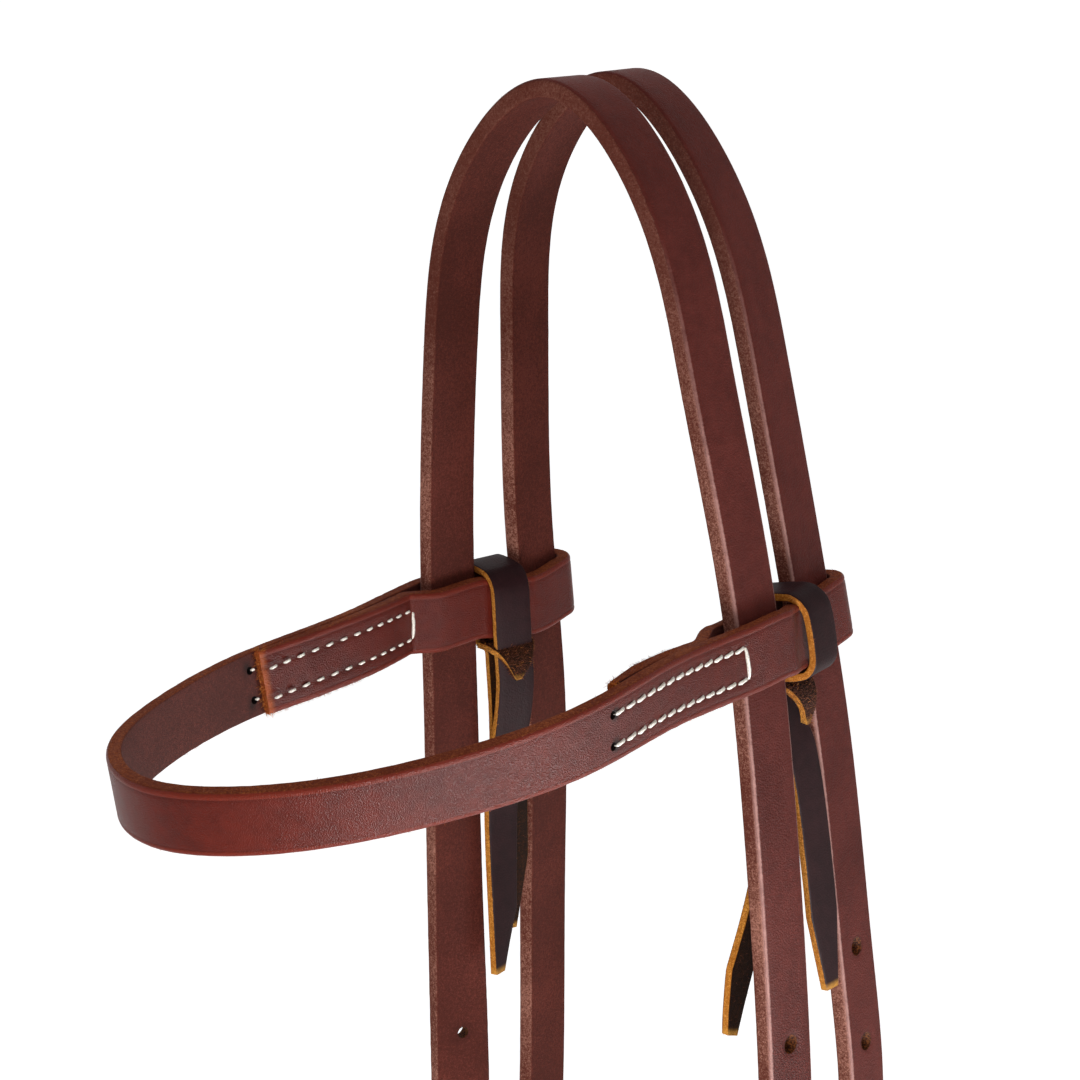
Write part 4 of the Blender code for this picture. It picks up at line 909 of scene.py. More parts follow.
def fibrous(name, dark, light, size=0.5 * mm, blend=(0.4, 0.65), relief=(0.15 * mm, 0.8), rough=0.85,
            level=0.1):
    """Packed or loose fibres and no grain. Blend is where the light ones start and where all are light."""
    made, tree, shader = fresh_material(name)
    fibre = add(tree, NOISE, {"Vector": add(tree, COORDINATES, out="Object"), "Scale": 1 / size,
                              "Detail": 3.0, "Roughness": 0.7})
    share = add(tree, RANGE, (fibre, *blend), **SMOOTH)
    join(tree, shader, {
        "Base Color": add(tree, MIX, {0: share, 6: srgb(dark), 7: srgb(light)}, 2, **RGBA),
        "Normal": add(tree, BUMP, {"Height": fibre, "Distance": relief[0], "Strength": relief[1]}),
        "Roughness": rough, "Specular IOR Level": level})
    return made


# The walls of punched holes, raw fibres painted darker as painted shade inside the hole, and of awl holes
# that are black with wax.
shaded_hole_wall = fibrous("punched_wall_painted_shade", "#2e140a", "#7a4420")
awl_wall = fibrous("waxed_awl_hole", "#0b0505", "#1b0f0b")
# Waxed polyester thread: two twisted plies, cream, with a dull wax shine.
thread_material = fibrous("waxed_cream_thread", "#c2b8a8", "#f1ebe1", 0.35 * mm, (0.35, 0.6),
                          (0.08 * mm, 0.7), 0.55, 0.5)

# Nickel-plated brass and steel: bright, faintly warm, with fine polishing marks.
nickel, tree, shader = fresh_material("polished_nickel_plate")
place = add(tree, COORDINATES, out="Object")
drawn = add(tree, "ShaderNodeMapping", {0: place, 3: (1, 1, 0.15)})
marks, worn = (add(tree, NOISE, {"Vector": spot, "Scale": 1 / size, "Detail": detail, "Roughness": rough})
               for spot, size, detail, rough in ((drawn, 0.8 * mm, 6.0, 0.7), (place, 5 * mm, 3.0, 0.6)))
dull = add(tree, MATH, (marks, 0.6, add(tree, MATH, (worn, 0.5), **MULTIPLY)), **MULTIPLY_ADD)
join(tree, shader, {
    "Base Color": add(tree, MIX, {0: worn, 6: srgb("#c9c4b8"), 7: srgb("#dedbd3")}, 2, **RGBA),
    "Roughness": add(tree, RANGE, (dull, 0.3, 0.8, 0.16, 0.38), **SMOOTH), "Metallic": 1.0,
    "Normal": add(tree, BUMP, {"Height": marks, "Distance": 0.03 * mm, "Strength": 0.5})})
print("finishes:", [m.name for m in bpy.data.materials if m.use_nodes][-6:])

# %% [markdown]
# The straps. Grain is 1 where the leather's outside is the path's own face side and -1 where it is the
# other. Round punched holes are cut out, after their rims are pressed in a little, as a drive punch does.

# %% Holes in the billets


def leg_holes(points, across, matrix, used_hole, down):
    """Places and directions of a leg's holes, a pitch apart from the one that its buckle holds."""
    face = path_frame(points, across)[2]
    held = np.array(matrix @ Vector((used_hole_out, 0, tongue_rise)))
    length = run_length(points)
    used = length[int(np.argmin(np.linalg.norm(points - held, axis=1)))]
    found = [int(np.argmin(abs(length - used - down * (k - used_hole) * hole_pitch)))
             for k in range(1, hole_count + 1)]
    return [(length[i], points[i], face[i]) for i in found]


def rim_press(holes, radius, depth=0.22 * mm, spread=0.5 * mm):
    """How deep the grain is pressed round some holes."""
    def press(run, across):
        total = np.zeros(run.shape)
        for at in holes:
            away = np.maximum(np.hypot(run - at, across) - radius, 0)
            total += depth * np.exp(-(away / spread) ** 2)
        return total
    return press


def billet_cutters(holes, used):
    """A free hole closes up a little on the flesh side. The buckle's tongue keeps a used one open."""
    return [(toward(spot, face), hole_diameter, strap_thickness + 3 * seat_gap, hole_sides,
             hole_diameter * (1.0 if k in used else closed_share))
            for k, (at, spot, face) in enumerate(holes)]


def slot_cutter(matrix):
    """The slot in a fold that the tongue swings in: a disc round the heel bar."""
    across = matrix.to_3x3() @ Vector((0, 1, 0))
    return (toward(matrix.translation, across), 2 * wrap_radius + strap_thickness + seat_gap,
            tongue_diameter + 2 * tongue_slot_clearance, slot_sides)


closed_share, hole_sides, slot_sides, post_sides = 0.6, 40, 64, 32
hole_places = [x * mm for x in (-4, -3.2, -2.4, -1.2, 0.0, 1.2, 2.4, 3.2, 4)]
plain_radii, hole_margin = (1.2 * mm, 0.7 * mm), 4 * mm


def billet_strap(name, node, points, across, ends, holes, used, more=()):
    """A strap with buckle holes in it, their rims pressed in, and other cuts."""
    made = sweep(name, points, across, strap_width, strap_thickness, plain_radii, -1, ends, hole_places,
                 [(at - hole_margin, at + hole_margin) for at, spot, face in holes],
                 rim_press([at for at, spot, face in holes], hole_diameter / 2))
    punched(made, billet_cutters(holes, used) + list(more), node + "_punches")
    print(name, "faces:", len(made.data.polygons))
    return dress(made, (harness, shaded_hole_wall), "headstall", "strap_leather", node)


def dress(made, materials, body, slot, *nodes):
    """Give a piece its materials and its body, and hide the solids that it stands for. Slot is not used."""
    kept = np.zeros(len(made.data.polygons), dtype=np.int32)
    made.data.polygons.foreach_get("material_index", kept)
    made.data.materials.clear()
    for material in materials:
        made.data.materials.append(material)
    # Clearing the list sends every face back to the first material, so the walls of holes are set again.
    made.data.polygons.foreach_set("material_index", np.minimum(kept, len(materials) - 1))
    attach(made, body)
    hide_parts(*nodes)
    return made


# %% Crown strap
crown_holes = leg_holes(crown_run, crown_across, axes["left_cheek"], 4, -1)
crown_holes += leg_holes(crown_run, crown_across, axes["right_cheek"], 3, 1)
crown = billet_strap("crown_strap_leather", "crown_strap", crown_run, crown_across,
                     (tip_radius, tip_radius), crown_holes, (3, hole_count + 2))

# %% Throatlatch
middle = len(throat_run) // 2
throat_holes = leg_holes(throat_run[:middle], throat_across[:middle], axes["throatlatch"], 4, -1)
throat = billet_strap("throatlatch_leather", "throatlatch_strap", throat_run, throat_across,
                      (tip_radius, 0), throat_holes, (3,), [slot_cutter(axes["throatlatch"])])

# %% [markdown]
# The cheek pieces. Each has a slot in its fold for the tongue, and two holes for the screws' posts.

# %% Cheek pieces
post_barrel_diameter, post_head_diameter, post_head_thickness = 5.0 * mm, 9.5 * mm, 1.6 * mm
head_dome, head_edge = 0.5 * mm, 0.15 * mm
screw_levels = [cheek_length - bit_loop_radius - bit_loop_neck - first_screw_above_neck - k * screw_spacing
                for k in range(2)]
for side_name in ("left", "right"):
    matrix = axes[side_name + "_cheek"]
    points, across = cheek_route(matrix)
    cheek = sweep(side_name + "_cheek_leather", points, across, strap_width, strap_thickness, plain_radii,
                  places=(-4 * mm, -1.5 * mm, 1.5 * mm, 4 * mm))
    outward = matrix.to_3x3() @ Vector((1, 0, 0))
    cutters = [slot_cutter(matrix)]
    cutters += [(toward(matrix @ Vector((0, 0, -level)), outward), post_barrel_diameter + 2 * seat_gap,
                 2 * (layer_out + strap_thickness), post_sides) for level in screw_levels]
    punched(cheek, cutters, side_name + "_cheek_punches")
    dress(cheek, (harness, shaded_hole_wall), "headstall", "strap_leather", side_name + "_cheek_strap")
    print(side_name, "cheek faces:", len(cheek.data.polygons))

# %% [markdown]
# The browband is the piece that the eye goes to. Its stitch rows lie in shallow grooves, each border
# has a creased line, and four awl holes show where the rows end.

# %% Browband
bars_ahead, row_pitches, browband_stitches = {1: 3.0 * mm, -1: 9.5 * mm}, 12, 13
rows_ahead = {side: bar + row_pitches * stitch_pitch for side, bar in bars_ahead.items()}
left_turn_run = run_length(left_end)[-1]
browband_total = run_length(browband_run)[-1]
stitched = []
for side in (1, -1):
    stitched.append(tuple(sorted(left_turn_run + loop_at[side] + side * ahead
                                 for ahead in (bars_ahead[side], rows_ahead[side]))))
    inner = (0.0, turn_lengths[side] - (inner_turn_settle[side] + stitch_pitch / 2))
    stitched.append(inner if side > 0 else tuple(browband_total - x for x in inner[::-1]))
groove_depth, groove_half, groove_fade = 0.3 * mm, 0.75 * mm, 2 * mm
crease_depth, crease_half, crease_at = 0.12 * mm, 0.3 * mm, 6.35 * mm
awl_hole, awl_stain, awl_stain_reach, awl_past = 2.0 * mm, 0.9 * mm, 2.2, 0.5 * mm
awl_reach, awl_sides = 4 * mm, 24
awl_holes = [left_turn_run + loop_at[side] + side * (rows_ahead[side] + awl_past) for side in (1, -1)]
skived, skived_length, skive_curve = 0.45, 13 * mm, 0.8


def browband_press(run, across):
    """Two grooves that each stitch pulls deeper, and a crease along each border."""
    inside = np.zeros(run.shape)
    for low, high in stitched:
        window = (np.clip((run - low) / groove_fade + 0.5, 0, 1)
                  * np.clip((high - run) / groove_fade + 0.5, 0, 1))
        beat = 0.75 + 0.25 * np.cos(2 * math.pi * (run - low) / stitch_pitch)
        inside = np.maximum(inside, window * beat)
    groove = groove_depth * inside * np.exp(-((abs(across) - stitch_row_offset) / groove_half) ** 2)
    crease = crease_depth * np.exp(-((abs(across) - crease_at) / crease_half) ** 2)
    return groove + crease


def browband_stain(run, across):
    """Black where the awl holes have been worked and waxed."""
    nearest = np.min([np.hypot(run - at, abs(across) - stitch_row_offset) for at in awl_holes], axis=0)
    return np.clip(awl_stain_reach - nearest / awl_stain, 0, 1)


def browband_skive(run):
    """The folded-back ends are pared thin so that they lie flat."""
    near = np.minimum(run, browband_total - run)
    return skived + (1 - skived) * np.clip(near / skived_length, 0, 1) ** skive_curve


browband_places = [sign * x * mm for sign in (1, -1)
                   for x in (1.4, 2.5, 3.0, 3.35, 3.7, 4.05, 4.4, 4.9, 5.6, 6.05, 6.35, 6.65)]
browband = sweep("browband_leather", browband_run, browband_across, browband_width, browband_thickness,
                 (1.05 * mm, 0.5 * mm), browband_grain, places=browband_places, marks=stitched,
                 press=browband_press, stain=browband_stain, skive=browband_skive)
cutters = []
for side in (1, -1):
    start = rows_ahead[side] + awl_past
    outward = layer_point(side, start, 1) - layer_point(side, start, 0)
    cutters += [(toward(layer_point(side, start, 0, lift), outward), awl_hole,
                 browband_thickness + awl_reach, awl_sides)
                for lift in (stitch_row_offset, -stitch_row_offset)]
punched(browband, cutters, "awl_holes")
dress(browband, (polished, awl_wall), "browband", "strap_leather", "browband_strap")
print("browband faces:", len(browband.data.polygons), "grain", browband_grain)

# %% [markdown]
# The lace ties, from the same sweep. Their tails are cut slanting to a point.

# %% Lace ties
lace_places, flap_slant = (-3 * mm, 0.0, 3 * mm), 1.2 * mm
lace_radii, lace_slants = (0.45 * mm, 0.35 * mm), ((16 * mm, 0.4, 1), (20 * mm, 0.45, 0.3))
laces = {}
for side, side_name in ((1, "left"), (-1, "right")):
    tie, flat = tie_axes(side), knot_flap(side)
    flap_turn = Matrix.Rotation(lace_sides[side][-2], 3, "Z") @ tie.to_3x3() @ Vector((0, 1, 0))
    flap_points, flap_across = smooth_path([tie @ Vector((x, 0, z)) for x, z in flat],
                                           [flap_turn] * len(flat))
    laces[side_name] = (
        sweep(side_name + "_lace", *lace_route(side), lace_width, lace_thickness, lace_radii,
              places=lace_places, slants=lace_slants),
        sweep(side_name + "_lace_flap", flap_points, flap_across, flap_width, flap_thickness,
              (0.4 * mm, 0.4 * mm), -side, places=lace_places,
              slants=(None, (flap_reach[side][-1] + flap_slant, 0.12, 0.0))))
    for made in laces[side_name]:
        settle(made)
        dress(made, (latigo,), "browband", "lace_leather", side_name + "_lace_tie")
        print(made.name, "faces:", len(made.data.polygons))

# %% [markdown]
# Stitches. Each is one short turn of two-ply thread that dips into an awl hole at both ends. Geometry
# Nodes put a copy at each point of a row, laid along the row and leaning the way a saddler's stitch
# leans. By hand it would be nearly two hundred copies; a curve would only give a smooth cord.

# %% Stitch shapes
stitch_rings, stitch_sides, stitch_end, ply_depth = 9, 8, 0.1, 0.16


def stitch_shape(name, fullness, dip, turns):
    """One length of two-ply thread, a unit long: fullness is how blunt its ends are, dip how deep they
    go in, and turns how often the plies twist."""
    rings = []
    for i in range(stitch_rings):
        t = 0.5 - 0.5 * math.cos(math.pi * i / (stitch_rings - 1))
        swell = stitch_end + (1 - stitch_end) * max(1 - abs(2 * t - 1) ** fullness, 0.0) ** 0.5
        ring = []
        for j in range(stitch_sides):
            a = 2 * math.pi * j / stitch_sides
            ply = 0.5 * swell * (1 - ply_depth + ply_depth * math.cos(2 * (a - turns * t)))
            ring.append((t - 0.5, ply * math.cos(a), ply * math.sin(a) - dip * abs(2 * t - 1) ** 3))
        rings.append(ring)
    made = skin(name, rings)
    print(name, "faces:", len(made.data.polygons))
    return made


bead = stitch_shape("bead_stitch", 2.2, 0.5, 4.5)
bar_stitch = stitch_shape("bar_stitch", 9.0, 0.5, 9.0)

# %% Geometry Nodes helpers


def copying_tree(name, inputs):
    """A tree with named inputs: the tree, what it is given, and the identifiers of its inputs."""
    tree = bpy.data.node_groups.new(name, "GeometryNodeTree")
    for label, kind in inputs:
        tree.interface.new_socket(label, in_out="INPUT", socket_type="NodeSocket" + kind)
    tree.interface.new_socket("Copies", in_out="OUTPUT", socket_type="NodeSocketGeometry")
    sockets = {item.name: item.identifier for item in tree.interface.items_tree if item.in_out == "INPUT"}
    return tree, add(tree, "NodeGroupInput", out=None).outputs, sockets


def end_with_copies(tree, given, points, turn, size, smooth):
    """Put the given shape at each point, make it real and give it its material."""
    shape = add(tree, "GeometryNodeObjectInfo", (given["Shape"],), "Geometry")
    placed = add(tree, "GeometryNodeInstanceOnPoints",
                 {"Points": points, "Instance": shape, "Rotation": turn, "Scale": size})
    real = add(tree, "GeometryNodeRealizeInstances", (placed,))
    if smooth:
        real = add(tree, "GeometryNodeSetShadeSmooth", (real,))
    finished = add(tree, "GeometryNodeSetMaterial", {0: real, "Material": given["Finish"]})
    add(tree, "NodeGroupOutput", (finished,), None)


def grow(made, tree, sockets, values):
    """Run a tree on a piece, with a value for each named input."""
    step = made.modifiers.new(tree.name, "NODES")
    step.node_group = tree
    for label, value in values.items():
        step[sockets[label]] = value
    return settle(made, 60)


# %% The stitching tree
stitch_tree, given, stitch_sockets = copying_tree("stitch_rows", (
    ("Rows", "Geometry"), ("Shape", "Object"), ("Thread diameter", "Float"), ("Lean", "Float"),
    ("Unevenness", "Float"), ("Seed", "Int"), ("Finish", "Material")))
stitch_maps = (("lay", "FLOAT_VECTOR"), ("up", "FLOAT_VECTOR"), ("long", "FLOAT"))
lay, up, long = (add(stitch_tree, "GeometryNodeInputNamedAttribute", (label,), data_type=kind)
                 for label, kind in stitch_maps)
turn = add(stitch_tree, "FunctionNodeAxesToRotation", (up, lay), primary_axis="Z", secondary_axis="X")
jitter = add(stitch_tree, "FunctionNodeRandomValue", {2: -1.0, 3: 1.0, "Seed": given["Seed"]}, 1,
             data_type="FLOAT")
lean = add(stitch_tree, MATH, (jitter, given["Unevenness"], given["Lean"]), **MULTIPLY_ADD)
twist = add(stitch_tree, "FunctionNodeAxisAngleToRotation", ((0, 0, 1), lean))
turn = add(stitch_tree, "FunctionNodeRotateRotation", (turn, twist), rotation_space="LOCAL")
size = add(stitch_tree, "ShaderNodeCombineXYZ", (long, given["Thread diameter"], given["Thread diameter"]))
end_with_copies(stitch_tree, given, given["Rows"], turn, size, True)
print("stitching nodes:", len(stitch_tree.nodes))


def sew(name, stitches, shape, diameter, lean, body, node, seed):
    """Make a thread from (middle, direction, outward, length) of each stitch."""
    data = bpy.data.meshes.new(name)
    data.from_pydata([tuple(stitch[0]) for stitch in stitches], [], [])
    for column, (label, kind) in enumerate(stitch_maps, 1):
        layer = data.attributes.new(label, kind, "POINT")
        values = np.array([stitch[column] for stitch in stitches], np.float32)
        layer.data.foreach_set("value" if kind == "FLOAT" else "vector", values.ravel())
    made = grow(put(name, data), stitch_tree, stitch_sockets, {
        "Shape": shape, "Thread diameter": diameter, "Lean": lean, "Unevenness": stitch_unevenness,
        "Seed": seed, "Finish": thread_material})
    return dress(made, (thread_material,), body, "stitching", node)


# %% Browband stitches
inner_stitch_share, outer_stitch_share = 0.52, 0.86
bead_thickness, sunk_thickness, above_leather = 1.08 * mm, 0.85 * mm, 0.1 * mm
bar_length, stitch_lean, sunk_lean = 2 * stitch_row_offset + 0.6 * mm, 0.2, 0.1
past_edge, stitch_unevenness = 0.6 * mm, 0.05
inner_bars = {1: inner_turn_settle[1] + stitch_pitch / 2, -1: inner_turn_settle[-1]}


def stitch_row(side, first, last, depth, lift, count, share, outward_sign):
    """Stitches along the browband between two distances ahead of the crown strap."""
    row = []
    for k in range(count):
        ahead = first + (last - first) * (k + 0.5) / count
        middle = layer_point(side, ahead, depth, lift)
        lay = (layer_point(side, ahead + dense_step, depth, lift)
               - layer_point(side, ahead - dense_step, depth, lift))
        up = (layer_point(side, ahead, 1) - layer_point(side, ahead, 0)) * outward_sign
        row.append((middle, lay.normalized(), up.normalized(), abs(last - first) / count * share))
    return row


def stitch_bar(side, ahead, depth, outward_sign):
    """The one stitch across that closes the rows."""
    up = (layer_point(side, ahead, 1) - layer_point(side, ahead, 0)) * outward_sign
    lay = layer_point(side, ahead, 0, 1) - layer_point(side, ahead, 0)
    return (layer_point(side, ahead, depth, 0), lay.normalized(), up.normalized(), bar_length)


for side, side_name, seed in ((1, "left", 3), (-1, "right", 8)):
    out = browband_thickness / 2 + above_leather
    bar, start, edge, inner_bar = bars_ahead[side], rows_ahead[side], turn_lengths[side], inner_bars[side]
    inner_count = round((edge - inner_bar) / stitch_pitch)
    stitches, sunk = [], []
    bars = [stitch_bar(side, bar, out + above_leather, 1),
            stitch_bar(side, inner_bar, -layer_step - out - above_leather, -1)]
    for lift in (stitch_row_offset, -stitch_row_offset):
        stitches += stitch_row(side, bar, start, out, lift, browband_stitches, outer_stitch_share, 1)
        sunk += stitch_row(side, inner_bar, edge, -layer_step - out, lift, inner_count,
                           inner_stitch_share, -1)
        sunk += stitch_row(side, edge + past_edge, start, -out, lift, 1, 1.0, -1)
    node = side_name + "_browband_thread"
    sew(side_name + "_browband_stitches", stitches, bead, bead_thickness, stitch_lean, "browband", node, seed)
    sew(side_name + "_browband_sunk_stitches", sunk, bead, sunk_thickness, sunk_lean, "browband", node,
        seed + 2)
    sew(side_name + "_browband_bars", bars, bar_stitch, thread_diameter, 0.0, "browband", node, seed + 1)
    print(side_name, "browband stitches:", len(stitches) + len(sunk) + len(bars))

# %% Fold stitches
for index, name in enumerate(("left_cheek", "right_cheek", "throatlatch")):
    matrix = axes[name]
    turn_matrix = matrix.to_3x3()
    out = layer_out + strap_thickness / 2 + above_leather
    low = max(-fold_stitch_start - stitch_pitch * (fold_stitches - 1), -turned_end + thread_diameter * 2)
    stitches, bars = [], []
    for sign in (1, -1):
        up = turn_matrix @ Vector((sign, 0, 0))
        for y in (stitch_row_offset, -stitch_row_offset):
            for k in range(fold_stitches):
                z = -fold_stitch_start + (low + fold_stitch_start) * (k + 0.5) / fold_stitches
                stitches.append((matrix @ Vector((sign * out, y, z)), Vector((0, 0, 1)), up,
                                 (-fold_stitch_start - low) / fold_stitches * outer_stitch_share))
        for z in (-fold_stitch_start, low):
            bars.append((matrix @ Vector((sign * (out + above_leather), 0, z)),
                         turn_matrix @ Vector((0, 1, 0)), up, bar_length))
    sew(name + "_stitches", stitches, bead, bead_thickness, stitch_lean, "headstall", name + "_thread",
        11 + index)
    sew(name + "_bars", bars, bar_stitch, thread_diameter, 0.0, "headstall", name + "_thread", 15 + index)
    print(name, "fold stitches:", len(stitches) + len(bars))
for shape in (bead, bar_stitch):
    bpy.data.objects.remove(shape)

# %% [markdown]
# Fuzz. Raw leather edges are never clean: short fibres stand out of the cut. Geometry Nodes scatter a
# few hundred thin hairs on the faces whose "wall" map says edge or flesh, denser at the cut ends, each
# with its own tilt and length. Hair curves would look as fine, but they don't survive as plain meshes.

# %% One fibre
fibre_stations = ((0.0, 0.0, 0.04), (0.5, 0.12, 0.032), (1.0, 0.45, 0.008))
one_fibre = skin("one_fibre", [[(sway + radius * math.cos(a), radius * math.sin(a), height)
                                for a in (0, 2 * math.pi / 3, 4 * math.pi / 3)]
                               for height, sway, radius in fibre_stations])

# %% The fuzz tree
fuzz_tree, given, fuzz_sockets = copying_tree("edge_fuzz", (
    ("Leather", "Geometry"), ("Shape", "Object"), ("Density", "Float"), ("From turn", "Float"),
    ("To turn", "Float"), ("End within", "Float"), ("Length", "Float"), ("Thickness", "Float"),
    ("Tilt", "Float"), ("Seed", "Int"), ("Finish", "Material")))
wall_at, run_at = (
    add(fuzz_tree, SPLIT, (add(fuzz_tree, "GeometryNodeInputNamedAttribute", (label,),
                               data_type="FLOAT_VECTOR"),), 1) for label in ("wall", "run"))
past = add(fuzz_tree, MATH, (wall_at, given["From turn"]), operation="GREATER_THAN")
short_of, near_end = (add(fuzz_tree, MATH, (place, given[label]), operation="LESS_THAN")
                      for place, label in ((wall_at, "To turn"), (run_at, "End within")))
chosen = add(fuzz_tree, MATH, (add(fuzz_tree, MATH, (past, short_of), **MULTIPLY), near_end), **MULTIPLY)
spots = add(fuzz_tree, "GeometryNodeDistributePointsOnFaces",
            {"Mesh": given["Leather"], "Selection": chosen, "Density": given["Density"],
             "Seed": given["Seed"]}, None).outputs
tilts = add(fuzz_tree, "FunctionNodeRandomValue",
            {0: (-1.0, -1.0, -1.0), 1: (1.0, 1.0, 1.0), "Seed": given["Seed"]}, data_type="FLOAT_VECTOR")
tilts = add(fuzz_tree, "ShaderNodeVectorMath", {0: tilts, 3: given["Tilt"]}, operation="SCALE")
leaning = add(fuzz_tree, "FunctionNodeRotateRotation",
              (spots["Rotation"], add(fuzz_tree, "FunctionNodeEulerToRotation", (tilts,))),
              rotation_space="LOCAL")
grown = add(fuzz_tree, "FunctionNodeRandomValue", {2: 0.35, 3: 1.0, "Seed": given["Seed"]}, 1,
            data_type="FLOAT")
tall = add(fuzz_tree, MATH, (grown, given["Length"]), **MULTIPLY)
size = add(fuzz_tree, "ShaderNodeCombineXYZ", (given["Thickness"], given["Thickness"], tall))
end_with_copies(fuzz_tree, given, spots["Points"], leaning, size, False)
print("fuzz nodes:", len(fuzz_tree.nodes))

# %% Fibres
fibre_thickness, fibre_tilt = 1.3 * mm, 0.9
dark_fibre = fibrous("brown_leather_fibre", "#4a2417", "#7a4630")
orange_fibre = fibrous("undyed_leather_fibre", "#a4521f", "#d68a42")
red_fibre = fibrous("red_brown_leather_fibre", "#6e2c16", "#a8552f")


def fuzz_on(leather_piece, name, finish, density, turned, end_within, length, seed, *rides):
    """Grow fibres, so many a square metre, on the faces turned that far from the grain, near an end.
    Rides is the leather's body, slot and solid."""
    made = grow(put(name, leather_piece.data.copy()), fuzz_tree, fuzz_sockets, {
        "Shape": one_fibre, "Density": density, "From turn": turned[0], "To turn": turned[1],
        "End within": end_within, "Length": length, "Thickness": fibre_thickness, "Tilt": fibre_tilt,
        "Seed": seed, "Finish": finish})
    print(name, "faces:", len(made.data.polygons))
    return dress(made, (finish,), *rides)


whole_length = 2.0
for made, node, seed in ((crown, "crown_strap", 21), (throat, "throatlatch_strap", 22)):
    fuzz_on(made, node + "_fuzz", dark_fibre, 90000.0, (0.3, 0.75), whole_length, 0.5 * mm, seed,
            "headstall", "strap_leather", node)
for label, finish, density, turned, end_within, length, seed in (
        ("fuzz", red_fibre, 160000.0, (0.35, 0.8), whole_length, 0.6 * mm, 23),
        ("end_fuzz", orange_fibre, 5000000.0, (0.3, 1.1), 2.5 * mm, 1.7 * mm, 24),
        ("turn_fuzz", red_fibre, 2500000.0, (0.35, 0.65), 30 * mm, 0.9 * mm, 25)):
    fuzz_on(browband, "browband_" + label, finish, density, turned, end_within, length, seed,
            "browband", "strap_leather", "browband_strap")
for side_name, seed in (("left", 31), ("right", 33)):
    lace, flap = laces[side_name]
    for made, label, finish, density, turned, length, more in (
            (lace, "_lace_fuzz", orange_fibre, 330000.0, (0.35, 0.7), 0.6 * mm, 0),
            (lace, "_lace_nap", dark_fibre, 160000.0, (0.75, 1.1), 0.7 * mm, 10),
            (flap, "_flap_nap", dark_fibre, 6000000.0, (0.35, 1.1), 0.8 * mm, 20),
            (flap, "_flap_fuzz", orange_fibre, 500000.0, (0.35, 1.1), 0.8 * mm, 40)):
        fuzz_on(made, side_name + label, finish, density, turned, whole_length, length, seed + more,
                "browband", "lace_leather", side_name + "_lace_tie")
bpy.data.objects.remove(one_fibre)

# %% [markdown]
# Hardware. Heel-bar buckles of nickel-plated steel wire, each with a tongue bent round its bar, and
# two-part chicago screws with slotted heads. A tube swept along a line gives the wire, and a turned
# profile the screws.

# %% Tubes and turned parts


def tube(name, points, radius, sides=20, closed=False, radii=None):
    """A round bar along a line, with domed ends where it is open."""
    points = np.array([tuple(p) for p in points])
    radii = np.full(len(points), radius) if radii is None else np.array(radii) * radius
    if closed:
        along = unit(np.roll(points, -1, axis=0) - np.roll(points, 1, axis=0))
    else:
        along = unit(np.gradient(points, axis=0))
        caps = [(-math.cos(math.radians(a)), math.sin(math.radians(a))) for a in (15, 40, 65)]
        head = [points[0] + along[0] * radii[0] * c for c, s in caps]
        tail = [points[-1] - along[-1] * radii[-1] * c for c, s in caps[::-1]]
        points = np.vstack([head, points, tail])
        along = np.vstack([[along[0]] * 3, along, [along[-1]] * 3])
        radii = np.concatenate([[radii[0] * s for c, s in caps], radii,
                                [radii[-1] * s for c, s in caps[::-1]]])
    normal, rings = Vector(along[0]).orthogonal().normalized(), []
    turns = [2 * math.pi * j / sides for j in range(sides)]
    for spot, ahead, size in zip(points, along, radii):
        ahead = Vector(ahead)
        normal = (normal - ahead * normal.dot(ahead)).normalized()
        other = ahead.cross(normal)
        rings.append([Vector(spot) + (normal * math.cos(a) + other * math.sin(a)) * size for a in turns])
    return settle(skin(name, rings, closed), 50)


def spun(name, profile, matrix, steps=48):
    """A turned part: a profile of radius and height, spun round Z and placed."""
    mesh = bmesh.new()
    spots = [mesh.verts.new((r, 0, z)) for r, z in profile]
    edges = [mesh.edges.new(pair) for pair in zip(spots, spots[1:])]
    bmesh.ops.spin(mesh, geom=spots + edges, cent=(0, 0, 0), axis=(0, 0, 1), angle=2 * math.pi, steps=steps)
    bmesh.ops.remove_doubles(mesh, verts=mesh.verts, dist=0.01 * mm)
    bmesh.ops.recalc_face_normals(mesh, faces=mesh.faces)
    mesh.transform(matrix)
    return settle(piece(name, mesh))


# %% Buckles
wire_radius, tongue_radius, tongue_hook = bar_diameter / 2, tongue_diameter / 2, (-270, -10, 14)
bar_outline = round_box(strap_width + 2 * buckle_side_clearance + bar_diameter, buckle_length,
                        buckle_corner, 10)
lean = Matrix.Rotation(buckle_tilt, 4, "Y")
ring = wire_radius + seat_gap + tongue_radius
hole = Vector((used_hole_out, 0, tongue_rise))
aim = Vector((math.cos(tongue_climb), 0, math.sin(tongue_climb)))
leave = hole + aim * (strap_thickness / 2 + tongue_exit_gap)
elbow = leave + Vector((tongue_diameter * tongue_elbow_out_share, 0, tongue_diameter * tongue_elbow_up_share))
rest_out = upper_bar.x + ring / math.cos(buckle_tilt)
tongue_route = [*((x, 0, z) for x, z in arc((0, 0), ring, *tongue_hook)),
                (ring + tongue_entry_gap, 0, tongue_rise / 2),
                hole - aim * (strap_thickness / 2 + tongue_entry_gap), leave, elbow,
                (elbow.x + seat_gap, 0, elbow.z + tongue_diameter),
                (rest_out + seat_gap, 0, upper_bar.z * tongue_lift_share),
                (rest_out, 0, upper_bar.z + tongue_diameter)]
tongue_points, tongue_across = smooth_path(tongue_route, [(0, 1, 0)] * len(tongue_route))
tongue_rows = rows_of(tongue_points, tongue_across)
